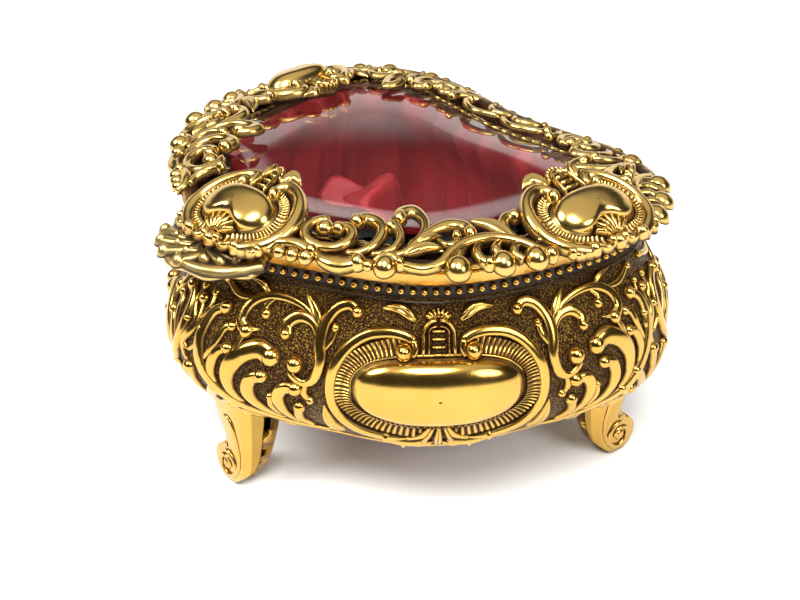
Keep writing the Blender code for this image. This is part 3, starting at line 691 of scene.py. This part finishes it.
# Scrolls between the tip medallion and a lobe medallion: points as (run, distance inwards), widths, ball.
SCROLLS = (
    (((30.6, 9.9), (28.4, 10.6), (26.0, 8.4), (26.0, 5.2), (28.2, 3.2), (31.4, 2.3), (34.6, 2.9), (36.6, 5.0),
      (36.5, 7.6), (34.6, 9.2), (33.0, 8.2)), (2.0, 1.7, 1.7), 1.3),
    (((36.0, 2.2), (39.4, 2.6), (42.0, 4.6), (43.3, 7.8), (42.7, 11.2), (40.4, 13.4), (37.4, 13.8),
      (35.9, 12.0)), (1.3, 2.1, 2.2), 1.4),
    (((42.0, 2.4), (45.8, 3.6), (48.0, 6.0), (48.2, 9.0), (46.6, 11.4), (44.8, 11.6)), (1.2, 1.6, 1.7), 1.2),
    (((44.0, 3.0), (49.4, 4.0), (52.6, 7.4), (54.8, 11.4), (54.7, 15.2), (52.2, 18.6), (48.8, 19.9),
      (46.0, 18.2),
      (46.2, 15.8)), (1.3, 2.4, 2.9), 1.6),
    (((49.4, 4.6), (54.4, 9.8), (59.2, 12.8), (63.8, 13.6), (67.2, 12.0), (67.6, 9.4)), (1.3, 2.3, 2.3), 1.5),
    (((58.0, 8.6), (60.4, 6.2), (63.0, 6.4), (63.6, 8.4)), (0.9, 1.3, 1.2), 1.1),
    (((79.8, 3.6), (77.4, 7.2), (77.4, 10.8), (79.4, 12.9), (81.4, 12.6)), (1.3, 1.9, 1.8), 1.3),
    (((46.0, 1.4), (51.0, 0.6), (55.0, 0.0), (58.6, 1.4), (61.6, 4.4), (65.4, 6.6), (70.0, 7.3), (74.6, 6.5),
      (78.6, 4.2), (81.4, 1.4), (83.6, -0.4)), (1.6, 1.8, 1.5), 1.3),
    (((19.4, -1.0), (21.2, 1.4), (25.6, 2.0), (29.6, 0.8)), (1.2, 1.9, 1.5), 1.2),
    (((30.4, 1.0), (33.0, -0.7), (37.2, -1.1), (40.6, 0.2)), (1.4, 2.2, 1.9), 1.4),
    (((43.8, 0.6), (45.2, 2.2), (48.0, 2.4), (49.8, 0.8)), (1.0, 1.4, 1.1), 1.0),
    (((69.6, 6.6), (67.4, 4.2), (67.6, 1.6), (69.2, 0.2)), (1.2, 1.7, 1.5), 1.1),
    (((65.6, 6.0), (63.4, 3.8), (62.6, 1.6)), (1.1, 1.5, 1.5), 0.0),
    (((74.2, 6.0), (72.0, 3.8), (72.2, 1.4)), (1.2, 1.7, 1.5), 0.0),
    (((79.4, 4.0), (76.8, 3.4), (75.6, 1.4), (77.0, -0.6)), (1.0, 1.5, 1.3), 0.0),
    (((82.4, 3.2), (85.0, 5.4), (85.2, 8.6)), (1.0, 1.4, 1.0), 0.9),
    (((20.0, 2.4), (22.6, 4.4), (24.0, 7.6), (23.4, 10.4)), (1.0, 1.5, 1.1), 1.0),
)
# Broad leaves: (points), width.
RIM_LEAVES = (
    (((77.6, 4.8), (74.4, 11.0), (68.6, 14.8)), 4.4),
    (((50.0, 3.0), (55.0, 5.6), (59.6, 5.6)), 3.0),
    (((52.6, 6.4), (56.0, 8.4), (60.0, 9.6)), 2.2),
)
# Balls along the outer edge: (run, distance inwards, radius).
RIM_BALLS = (
    (22.4, -0.3, 1.6), (25.6, -0.5, 1.7), (28.8, -0.5, 1.9), (42.9, 0.0, 1.4), (46.6, 0.1, 2.7),
    (62.3, 0.0, 3.0), (72.3, 0.0, 2.9), (80.0, -0.3, 2.8), (29.8, 8.1, 2.2), (84.6, 0.2, 1.4),
)
RIM_HEIGHT = 2.5
BACK_SCROLL_SHARE, BACK_SCROLL_SEAT = 0.75, -1.3


def back_rim(run, inward, lift=0.0):
    """The rim behind the lobes, where the scrollwork is lower and sits deeper."""
    return rim(run, inward, BACK_SCROLL_SHARE * np.asarray(lift) + BACK_SCROLL_SEAT)


def rim_scrolls(cast, place, face=rim):
    """The scrollwork of one stretch; place maps its runs onto the rim."""
    for points, widths, bulb in SCROLLS:
        cast.stroke(face, [(place(s), w) for s, w in points], weighted(widths, RIM_WEIGHT), RIM_HEIGHT,
                    bulb=bulb * 1.45, groove=0.08, sink=0.9, count=34)
    for points, width in RIM_LEAVES:
        cast.leaf(face, [(place(s), w) for s, w in points], width, 2.0)
    for s, w, radius in RIM_BALLS:
        cast.ball(face, (place(s), w), radius, radius * 1.1, sink=0.5)


MEDALLION_SIZE, MEDALLION_PIVOT = 1.08, 8.0
# How far each medallion stands off the rim, and its slope towards the glass.
MEDALLION_SEATS = {
    "medallion_tip": (0.6, 0.19),
    "medallion_right": (0.6, 0.19),
    "medallion_left": (-1.0, 0.04),
}


def medallion(name, s0):
    """A rim medallion: a kidney boss in a ribbed border, C-scrolls, an arched grille and a shell."""
    seat, tilt = MEDALLION_SEATS[name]
    cast = Cast()

    def on(a, b, lift=0.0):
        inward = MEDALLION_PIVOT + MEDALLION_SIZE * (np.asarray(b) - MEDALLION_PIVOT)
        return rim(s0 + MEDALLION_SIZE * np.asarray(a), inward,
                   np.asarray(lift) + seat + tilt * np.maximum(inward - MEDALLION_PIVOT, -4.0))

    cabochon(cast, on, (0.0, 6.9), (10.9, 5.5), 4.2, power=2.3, dent=2.6)
    ribbed_border(cast, on, (0.0, 7.2), (11.6, 6.1), (14.0, 8.4), 60, gap_top=0.34, height=0.35)
    for side in (-1, 1):
        ridge = ((6.4, 12.8), (6.6, 14.9), (9.0, 16.3), (12.0, 15.4), (14.6, 12.8), (15.8, 9.0), (15.2, 4.8),
                 (12.6, 1.4), (8.8, -0.6), (5.4, -1.3))
        cast.stroke(on, [(side * a, b) for a, b in ridge], (2.6, 3.7, 2.9), 3.0, count=50, sink=0.9)
        cast.ball(on, (7.4 * side, 12.6), 1.9, 3.4)
        cast.leaf(on, ((5.0 * side, 16.6), (8.2 * side, 19.6), (11.8 * side, 18.6)), 3.8, 2.4)
        cast.stroke(on, ((5.6 * side, -0.4), (3.4 * side, -1.6), (1.6 * side, -0.6)), (1.2, 1.7, 1.4), 2.2,
                    bulb=1.2)
        cast.ball(on, (6.4 * side, -1.0), 1.6, 2.8)
        cast.stroke(on, ((8.2 * side, -0.4), (10.0 * side, -1.7), (11.4 * side, -0.6)), (1.2, 1.7, 1.5), 2.0,
                    bulb=1.2)
    for k in range(-3, 4):
        turn = math.radians(k * 22.0)
        cast.stroke(on, ((math.sin(turn) * 0.8, 0.2), (math.sin(turn) * 4.8, 0.2 + math.cos(turn) * 4.8)),
                    (0.7, 1.4, 1.1), 3.4 - 0.12 * abs(k), count=12)
    cast.ball(on, (0.0, -1.0), 1.6, 2.8)
    for side in (-1, 1):
        arch = ((3.3 * side, 12.4), (3.3 * side, 15.4), (3.1 * side, 17.6), (1.9 * side, 19.0), (0.0, 19.4))
        cast.stroke(on, arch, (1.4, 1.4, 1.4), 2.3, count=18)
    for k in range(4):
        cast.stroke(on, ((-3.0, 12.5 + 1.75 * k), (3.0, 12.5 + 1.75 * k)), (0.85, 0.85, 0.85), 1.9, count=6)
    for k in range(-4, 5):
        turn = math.radians(k * 17.0)
        cast.ball(on, (4.9 * math.sin(turn), 15.8 + 4.9 * math.cos(turn)), 0.7, 2.0)
    # The plate behind the ornament, with its edge turned down.
    angle = np.linspace(0.0, 2 * math.pi, 72, endpoint=False)
    plate_a, plate_b = superellipse((15.9, 9.0), 2.2, angle)
    head = np.exp(-((plate_a / 5.6) ** 2)) * np.clip(plate_b, 0.0, None) / 9.2 * 4.2
    shares = np.array([0.02, 0.6, 1.0, 1.02, 0.98])
    rows = on(shares[:, None] * plate_a, 7.6 + shares[:, None] * (plate_b + head),
              np.array([0.2, 0.2, 0.1, -0.6, -2.4])[:, None])
    cast.grid(rows, np.array([0.05, 0.05, 0.15, 0.4, 0.1])[:, None], wrap=True, cap_end=True)
    made = cast.object(f"rim_{name}", LOOKS["rim"], "lid")
    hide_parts(name)


# (offset, height, crest) round the section of the lid's smooth band and the seat of the glass. The low crest
# on the top ledge, the inner wall and the seat paints shade under the overhanging rim.
BAND_SECTION = (
    (-13.6, 69.3, 0.2), (-4.6, 69.3, 0.5), (-2.6, 69.5, 0.9), (-2.2, 70.0, 1.0), (-1.9, 72.4, 1.0),
    (-1.2, 73.6, 1.0), (-0.5, 74.3, 0.8), (-0.3, 74.8, 0.5), (-1.2, 75.2, 0.25), (-3.6, 75.4, 0.1),
    (-4.4, 74.6, 0.0), (-4.4, 71.2, 0.0), (-13.6, 71.1, 0.05), (-13.6, 69.3, 0.2),
)
SCROLL_START = 4.6
# The extra scrolls beside the cleft: (length, distance inwards).
CLEFT_SCROLLS = ((8.0, 3.0), (13.0, 8.5))


def lid_band():
    runs = closed_runs(360)
    band = Cast()
    crest = np.array([tone for _, _, tone in BAND_SECTION])[:, None]
    band.grid(np.stack([hoop_points(runs, o, z) for o, z, _ in BAND_SECTION]), crest, wrap=True)
    made = band.object("lid_band", LOOKS["smooth"], "lid")
    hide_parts("lid_frame")


def back_scrolls(side):
    """The scrollwork from a lobe's medallion to the cleft: the front scrolls fitted to a shorter stretch."""
    stretch = (PERIMETER / 2 - LOBE_MEDALLION - 1.0) / (LOBE_MEDALLION - TIP_MEDALLION - 1.0)

    def place(s):
        return side * (PERIMETER / 2 - (s - SCROLL_START) * stretch)

    back = Cast()
    rim_scrolls(back, place, back_rim)
    for s, w in CLEFT_SCROLLS:
        points = ((0.0, w - 1.0), (s * 0.5, w + 3.0), (s, w + 1.0), (s + 2.0, w - 2.0))
        back.stroke(back_rim, [(place(SCROLL_START + a), b) for a, b in points], (1.4, 2.0, 1.6), RIM_HEIGHT,
                    bulb=1.4, groove=0.14, sink=0.9)
    back.ball(back_rim, (place(8.0), 0.0), 2.0, 2.2, sink=0.5)
    back.ball(back_rim, (place(14.0), -0.3), 1.8, 2.0, sink=0.5)
    return back


def make_lid():
    lid_band()
    for name, side in (("right", 1), ("left", -1)):
        front = Cast()
        rim_scrolls(front, lambda s, side=side: side * s)
        front.object(f"rim_scrolls_{name}", LOOKS["rim"], "lid")
        back_scrolls(side).object(f"rim_scrolls_back_{name}", LOOKS["rim"], "lid")
    medallion("medallion_tip", TIP_MEDALLION)
    medallion("medallion_right", LOBE_MEDALLION)
    medallion("medallion_left", -LOBE_MEDALLION)


GLASS_OFFSET, GLASS_EDGE = -11.1, 2.9
# (inset, height) up the edge of the glass, then (share of the outline, height) up its bevel.
GLASS_EDGE_RINGS = ((0.5, 0.0), (0.15, 0.15), (0.0, 0.4), (0.0, GLASS_EDGE - 0.3), (0.2, GLASS_EDGE))
GLASS_BEVEL = ((1.0, 3.0), (0.9, 3.52), (0.8, 4.03), (0.74, 4.3), (0.70, 4.42), (0.66, 4.48), (0.62, 4.5),
               (0.5, 4.5))
BEZEL_COUNT, BEZEL_FLUTES = 960, 120


def make_glass():
    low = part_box("glass_pane")[0][2] / MM
    runs = closed_runs(240)
    cast = Cast()
    rings = [hoop_points(runs, GLASS_OFFSET - inset, low + z) for inset, z in GLASS_EDGE_RINGS]
    outer = hoop_points(runs, GLASS_OFFSET - 0.6, low + GLASS_EDGE + 0.12)
    middle = np.array([0.0, 5.0, 0.0])

    def drawn_in(share, z):
        ring = middle + (outer - middle) * share
        ring[:, 2] = z
        return ring

    bevel = [drawn_in(share, low + z) for share, z in GLASS_BEVEL]
    cast.grid(np.stack([drawn_in(0.8, low)] + rings + bevel), 1.0, wrap=True, cap_start=True, cap_end=True)
    made = cast.object("glass_top", LOOKS["glass"], "lid")
    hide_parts("glass_pane")
    bezel = Cast()
    runs = closed_runs(BEZEL_COUNT)
    ripple = 0.5 + 0.5 * np.cos(np.arange(BEZEL_COUNT) / BEZEL_COUNT * 2 * math.pi * BEZEL_FLUTES)
    rows = np.stack([hoop_points(runs, -9.4, low), hoop_points(runs, -9.5, low + 2.4),
                     hoop_points(runs, -9.9 - 0.3 * ripple, low + 3.3),
                     hoop_points(runs, -10.5 - 0.7 * ripple, low + 3.2),
                     hoop_points(runs, -10.95, low + 2.4)])
    crest = np.array([0.0, 0.1, 0.5, 0.4, 0.1])[:, None] + np.array([0, 0, 0.5, 0.5, 0.1])[:, None] * ripple
    bezel.grid(rows, crest, wrap=True)
    made = bezel.object("ribbed_bezel", LOOKS["rim"], "lid")
    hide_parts("glass_bezel")


# ---------------------------------------------------------------- thumb lip, feet

LIP_FAN = 13.8


def make_lip():
    low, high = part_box("front_lip")
    root_y = low[1] / MM + LIP_FAN + 1.3
    top = high[2] / MM
    cast = Cast()

    def face(a, b, lift=0.0):
        """a: millimetres towards +X, b: millimetres ahead of the root of the fan."""
        a, b, lift = np.broadcast_arrays(np.asarray(a, float), np.asarray(b, float), np.asarray(lift, float))
        droop = 0.011 * np.clip(np.hypot(a, b) - 5.0, 0.0, None) ** 2
        return np.stack([a, root_y - b, top - 1.7 - droop + lift], axis=-1)

    def polar(degrees, reach):
        turn = math.radians(degrees)
        return 1.16 * reach * math.sin(turn), reach * math.cos(turn)

    turns = np.linspace(-98.0, 98.0, 99)
    edge = np.array([polar(t, LIP_FAN + 0.5 * math.cos(math.radians(t * 9.0))) for t in turns])
    shares = np.array([0.3, 0.6, 0.85, 0.97, 1.0, 0.98, 0.85, 0.3])
    lifts = np.array([0.1, 0.1, 0.0, -0.1, -0.8, -1.5, -1.7, -1.7])
    cast.grid(face(shares[:, None] * edge[:, 0], shares[:, None] * edge[:, 1], lifts[:, None]),
              np.array([0.1, 0.1, 0.15, 0.6, 0.8, 0.4, 0.2, 0.1])[:, None])
    roll = [polar(t, r) for t, r in ((-8.0, 10.6), (14.0, 12.4), (38.0, 13.0), (62.0, 13.0), (86.0, 12.8),
                                     (98.0, 13.4))]
    cast.stroke(face, roll, (1.6, 2.8, 3.4), 2.3, groove=0.1, count=40)
    for t, reach in ((94.0, 9.6), (74.0, 10.2), (54.0, 10.4), (34.0, 10.0)):
        path = [polar(t - 34.0, 3.4), polar(t - 26.0, 5.8), polar(t - 12.0, 8.0), polar(t, reach)]
        cast.stroke(face, path, (1.2, 2.3, 2.4), 2.0, bulb=1.45, groove=0.2)
    for t, reach in ((10.0, 12.9), (-14.0, 13.1), (-36.0, 12.9), (-58.0, 13.1), (-82.0, 12.7)):
        path = [polar(t + 24.0, 3.4), polar(t + 20.0, 6.4), polar(t + 12.0, 9.6), polar(t, reach)]
        cast.stroke(face, path, (1.2, 2.4, 2.8), 2.1, bulb=1.75, groove=0.2)
        curl = [polar(t + 12.0, 7.0), polar(t + 2.0, 8.6), polar(t - 6.0, 9.4)]
        cast.stroke(face, curl, (0.9, 1.5, 1.5), 1.8, bulb=1.15)
    cast.ball(face, polar(96.0, 12.4), 1.7, 2.8)
    made = cast.object("thumb_lip", LOOKS["pale"], "lid")
    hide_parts("front_lip")


FOOT_WIDTH, VOLUTE_RADIUS, FOOT_TRIM = 14.0, 5.8, 0.25
FOOT_TOE_DEPTH, FOOT_EXTRA_DEPTH, FOOT_TAPER_HEIGHT = 6.0, 6.0, 20.0
# Each foot as (node, corner where its outline starts, facing in degrees, side to which it curls).
FEET = (
    ("foot_tip", (7.6, -47.0), -90.0, -1),
    ("foot_right", (55.512, 31.017), -4.0, 1),
    ("foot_left", (-55.512, 31.017), 184.0, -1),
)
# (inset of the outline, share of the depth or millimetres behind the face, crest) from front to back.
FOOT_RINGS = (
    (0.75, 0.0, 0.9), (0.3, 0.12, 1.0), (0.0, 0.6, 1.0), (0.0, 0.55, 1.0), (0.0, 0.95, 0.9), (0.35, 1.0, 0.6),
)


def foot_edge():
    """Smooth side view of a scroll foot, as (along the curl, up)."""
    centre = (FOOT_WIDTH - VOLUTE_RADIUS, VOLUTE_RADIUS)
    inner = smooth(((0.0, 31.0), (0.0, 22.0), (0.0, 14.0), (0.5, 8.5), (1.9, 4.6), (3.0, 3.1)), 22)
    turn = np.radians(np.linspace(212.0, 455.0, 34))
    volute = np.stack([centre[0] + VOLUTE_RADIUS * np.cos(turn), centre[1] + VOLUTE_RADIUS * np.sin(turn)],
                      axis=-1)
    outer = smooth(((7.7, 12.4), (8.1, 14.5), (9.4, 18.0), (11.6, 22.5), (13.6, 27.0), (14.4, 31.0)), 18)
    edge = np.concatenate([inner, volute, outer])
    edge[:, 1] = np.maximum(edge[:, 1] - FOOT_TRIM, 0.0)
    return edge


def make_foot(node, corner, facing, curl):
    """A scroll foot with its carved face towards `facing`; its sides follow foot_edge."""
    out = Vector((math.cos(math.radians(facing)), math.sin(math.radians(facing)), 0.0))
    side = Vector((-out.y, out.x, 0.0)) * curl
    root = Vector((*corner, 0.0))
    edge = foot_edge()
    cast = Cast()
    middle = np.array([5.5, 12.0])
    depth_at = FOOT_TOE_DEPTH + FOOT_EXTRA_DEPTH * np.clip(edge[:, 1] / FOOT_TAPER_HEIGHT, 0.0, 1.0)
    normal = np.gradient(edge, axis=0)
    normal = np.stack([-normal[:, 1], normal[:, 0]], axis=-1)
    normal /= np.linalg.norm(normal, axis=1, keepdims=True) + 1e-9
    inward = np.where(((middle - edge) * normal).sum(axis=1)[:, None] > 0, normal, -normal)
    rows = []
    for inset, back, _ in FOOT_RINGS:
        ring = edge + inward * inset
        depth = back * depth_at if back >= 0.5 else np.full(len(edge), back)
        rows.append([tuple(root + side * u + Vector((0, 0, max(v, 0.0))) - out * d)
                     for (u, v), d in zip(ring, depth)])
    crest = np.array([tone for _, _, tone in FOOT_RINGS])[:, None]
    cast.grid(np.array(rows), crest, wrap=True, cap_start=True, cap_end=True)

    def face(a, b, lift=0.0):
        a, b, lift = np.broadcast_arrays(np.asarray(a, float), np.asarray(b, float), np.asarray(lift, float))
        rise = np.clip(lift, -0.4, 0.9)[..., None] * 0.8
        return (np.array(root) + a[..., None] * np.array(side) + b[..., None] * np.array((0, 0, 1.0))
                + rise * np.array(out))

    centre = (FOOT_WIDTH - VOLUTE_RADIUS, VOLUTE_RADIUS - FOOT_TRIM)
    cast.stroke(face, spiral(centre, 4.6, 1.5, 75, 1.35, 26), (1.5, 1.6, 1.3), 1.2, count=60, groove=0.1)
    cast.ball(face, centre, 1.7, 1.3)
    cast.stroke(face, ((8.6, 20.6), (6.4, 21.2), (4.4, 19.6), (3.0, 15.6), (2.2, 11.0), (3.0, 6.6),
                       (5.6, 2.8)),
                (1.0, 1.5, 1.4), 1.1, count=40)
    made = cast.object(f"{node}_cast", LOOKS["smooth"], "base")
    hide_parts(node)


# ---------------------------------------------------------------- velvet

VELVET_PITCH, VELVET_RISE, VELVET_SHOULDER, VELVET_WAVE, VELVET_ROOF_Z = 1.7, 17.0, 7.0, 2.8, 62.0
VELVET_STEPS = 24


def heart_sheet(name, offset, pitch, height):
    """A flat heart-shaped sheet of square cells; returns it and the numbers of its edge points."""
    fine = np.linspace(-PERIMETER / 2, PERIMETER / 2, 721)[:-1]
    edge = hoop_points(fine, offset, 0.0)[:, :2]
    edge_turn = np.arctan2(edge[:, 0], -edge[:, 1])
    order = np.argsort(edge_turn)
    edge_turn, edge_reach = edge_turn[order], np.linalg.norm(edge, axis=1)[order]
    half = int(60 / pitch)
    cells = range(-half, half)
    corners = {}
    faces = []

    def inside(i, j):
        x, y = i * pitch, j * pitch
        return math.hypot(x, y) < np.interp(math.atan2(x, -y), edge_turn, edge_reach, period=2 * math.pi)

    for i in cells:
        for j in cells:
            cell = [(i, j), (i + 1, j), (i + 1, j + 1), (i, j + 1)]
            if all(inside(*corner) for corner in cell):
                faces.append([corners.setdefault(corner, len(corners)) for corner in cell])
    mesh = bpy.data.meshes.new(name)
    mesh.from_pydata([(i * pitch * MM, j * pitch * MM, height * MM) for i, j in corners], [], faces)
    made = bpy.data.objects.new(name, mesh)
    bpy.context.scene.collection.objects.link(made)
    bm = bmesh.new()
    bm.from_mesh(mesh)
    rim_points = [v.index for v in bm.verts if v.is_boundary]
    bm.free()
    for number in rim_points:
        point = mesh.vertices[number].co
        turn = math.atan2(point.x, -point.y)
        reach = np.interp(turn, edge_turn, edge_reach, period=2 * math.pi) * MM
        point.x, point.y = math.sin(turn) * reach, -math.cos(turn) * reach
    return made, rim_points


def make_floor_cushion():
    """The loose velvet in the bottom: a sheet held at its edge, larger than its frame,
    so that it stands in folds."""
    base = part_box("floor_pad")[0][2] / MM
    sheet, edge = heart_sheet("velvet_floor", -13.6, VELVET_PITCH, base + 3.0)
    mesh = sheet.data
    rng = np.random.default_rng(7)
    points = np.array([v.co[:] for v in mesh.vertices])
    wave = np.zeros(len(points))
    for _ in range(7):
        way = rng.uniform(0, 2 * math.pi)
        pitch = rng.uniform(150, 320)
        along = points[:, 0] * math.cos(way) + points[:, 1] * math.sin(way)
        wave += rng.uniform(0.4, 1.0) * np.sin(pitch * along + rng.uniform(0, 6.3))
    distance = np.min(np.linalg.norm(points[:, None, :2] - points[None, edge, :2], axis=2), axis=1) / MM
    mound = 1 - np.exp(-distance / VELVET_SHOULDER)
    points[:, 2] += mound * (VELVET_RISE + VELVET_WAVE * wave) * MM
    mesh.vertices.foreach_set("co", points.reshape(-1))
    pins = sheet.vertex_groups.new(name="edge")
    pins.add(edge, 1.0, "REPLACE")
    cloth = sheet.modifiers.new("cloth", "CLOTH")
    settings = cloth.settings
    settings.quality = 6
    settings.mass = 0.15
    settings.tension_stiffness = 15
    settings.compression_stiffness = 15
    settings.bending_stiffness = 0.12
    settings.shrink_min = -0.22
    settings.use_pressure = True
    settings.uniform_pressure_force = 0.5
    settings.vertex_group_mass = "edge"
    settings.effector_weights.gravity = 0.0
    cloth.collision_settings.use_collision = False
    cloth.collision_settings.use_self_collision = True
    cloth.collision_settings.self_distance_min = 0.0009
    cloth.point_cache.frame_end = VELVET_STEPS + 2
    scene = bpy.context.scene
    for number in range(1, VELVET_STEPS + 1):
        scene.frame_set(number)
    graph = bpy.context.evaluated_depsgraph_get()
    done = bpy.data.meshes.new_from_object(sheet.evaluated_get(graph))
    sheet.modifiers.remove(cloth)
    scene.frame_set(1)
    sheet.data = done
    mesh = sheet.data
    points = np.array([v.co[:] for v in mesh.vertices])
    points[:, 2] = np.clip(points[:, 2], (base + 1.0) * MM, VELVET_ROOF_Z * MM)
    mesh.vertices.foreach_set("co", points.reshape(-1))
    mesh.polygons.foreach_set("use_smooth", [True] * len(mesh.polygons))
    mesh.materials.clear()
    mesh.materials.append(LOOKS["velvet"])
    thick = sheet.modifiers.new("thickness", "SOLIDIFY")
    thick.thickness = 0.0006
    finer = sheet.modifiers.new("finer", "SUBSURF")
    finer.levels = finer.render_levels = 1
    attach(sheet, "base")
    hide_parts("floor_pad")


def make_wall_lining():
    """Gathered velvet round the inside of the wall."""
    count = 900
    runs = np.linspace(-PERIMETER / 2, PERIMETER / 2, count + 1)[:-1]
    phase = np.cumsum(1.0 + 0.35 * np.sin(np.arange(count) * 0.043) + 0.25 * np.sin(np.arange(count) * 0.117))
    pleats = 27
    wave = np.sin(phase / phase[-1] * 2 * math.pi * pleats)
    profile = ((25.2, -11.0, 0.0), (28.0, -8.6, 0.5), (33.0, -5.4, 1.0), (39.0, -4.0, 1.0), (46.0, -4.0, 1.0),
               (53.0, -5.8, 1.0), (59.0, -8.6, 1.0), (63.5, -10.0, 0.9), (66.0, -10.0, 0.5),
               (66.4, -8.6, 0.2))
    table = smooth([(z, o, p) for z, o, p in profile], 40)
    _, _, angles = plan(runs)
    rows = []
    for z, o, strength in table:
        reach = o + swell(angles, z) - strength * (1.0 + 1.3 * wave)
        rows.append(hoop_points(runs, reach, z))
    cast = Cast()
    cast.grid(np.stack(rows), 1.0, wrap=True)
    made = cast.object("velvet_lining", LOOKS["velvet"], "base")
    thick = made.modifiers.new("thickness", "SOLIDIFY")
    thick.thickness = 0.0005
    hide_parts("wall_lining")


# ---------------------------------------------------------------- carried-over CAD pieces, stage, camera

def repaint(node, look):
    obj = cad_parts[node]
    obj.data.materials.clear()
    obj.data.materials.append(LOOKS[look])


def repaint_cad():
    for node in ("base_screw_1", "base_screw_2", "base_screw_3", "hinge_pin"):
        repaint(node, "steel")
    for node in ("hinge_leaf_lower", "hinge_leaf_upper", "rivet_lower_left", "rivet_lower_right",
                 "rivet_upper_left", "rivet_upper_right", "base_plate"):
        repaint(node, "brass")
    repaint("base_felt", "felt")
    repaint("floor_board", "board")


VIEW_TURN = math.radians(50.0)


LAMP_TARGET = Vector((0.0, 0.0, 0.04))
# Each lamp as (name, place, diameter, power).
LAMPS = (
    ("key", (-0.35, -0.75, 0.85), 0.5, 10.5),
    ("fill", (0.95, 0.15, 0.6), 0.5, 6.0),
    ("top", (0.42, -0.4, 0.98), 0.55, 14.0),
)
CEILING_STRENGTH, DIM_STRENGTH, CARD_STRENGTH = 0.9, 0.05, 1.4


def make_world():
    """A dim studio with a bright ceiling, and a pale card low behind the box that shows in its glass."""
    world = bpy.data.worlds.new("studio")
    bpy.context.scene.world = world
    world.use_nodes = True
    tree = world.node_tree
    way = add(tree, "ShaderNodeTexCoord").outputs["Generated"]
    split = add(tree, "ShaderNodeSeparateXYZ")
    feed(tree, way, split.inputs[0])
    up = split.outputs["Z"]
    behind = add(tree, "ShaderNodeVectorMath", operation="DOT_PRODUCT")
    feed(tree, way, behind.inputs[0])
    behind.inputs[1].default_value = (-math.sin(VIEW_TURN), math.cos(VIEW_TURN), 0.0)
    ceiling = remap(tree, up, 0.60, 0.85, DIM_STRENGTH, CEILING_STRENGTH)
    wing = remap(tree, behind.outputs["Value"], 0.35, 0.8)
    card = combine(tree, "MULTIPLY", wing, remap(tree, up, 0.405, 0.355))
    total = combine(tree, "MULTIPLY_ADD", card, CARD_STRENGTH, ceiling)
    feed(tree, total, tree.nodes["Background"].inputs["Strength"])
    tree.nodes["Background"].inputs["Color"].default_value = (1.0, 0.99, 0.96, 1.0)


def make_stage():
    mesh = bpy.data.meshes.new("floor")
    half = 3.0
    corners = [(-half, -half, 0), (half, -half, 0), (half, half, 0), (-half, half, 0)]
    mesh.from_pydata(corners, [], [(0, 1, 2, 3)])
    floor = bpy.data.objects.new("floor", mesh)
    bpy.context.scene.collection.objects.link(floor)
    floor.location.z = -0.0002
    made, _, shader = nodes_of("pale_floor")
    shader.inputs["Base Color"].default_value = (0.93, 0.93, 0.93, 1.0)
    shader.inputs["Roughness"].default_value = 0.7
    shader.inputs["Specular IOR Level"].default_value = 0.1
    mesh.materials.append(made)
    make_world()
    for name, spot, size, power in LAMPS:
        data = bpy.data.lights.new(name, "AREA")
        data.shape = "DISK"
        data.size = size
        data.energy = power
        light = bpy.data.objects.new(name, data)
        light.location = spot
        light.rotation_euler = (LAMP_TARGET - Vector(spot)).to_track_quat("-Z", "Y").to_euler()
        bpy.context.scene.collection.objects.link(light)
    bpy.context.scene.view_settings.view_transform = "Standard"


def make_camera():
    data = bpy.data.cameras.new("camera")
    data.lens, data.sensor_width = 54.0, 36.0
    data.clip_start = 0.01
    camera = bpy.data.objects.new("camera", data)
    camera.location = Vector((213.8, -169.1, 200.2)) * MM
    camera.rotation_euler = (math.radians(90 - 31.0), 0.0, VIEW_TURN)
    bpy.context.scene.collection.objects.link(camera)
    bpy.context.scene.camera = camera


make_wall()
make_lid()
make_glass()
make_lip()
for foot in FEET:
    make_foot(*foot)
make_floor_cushion()
make_wall_lining()
repaint_cad()
make_stage()
make_camera()
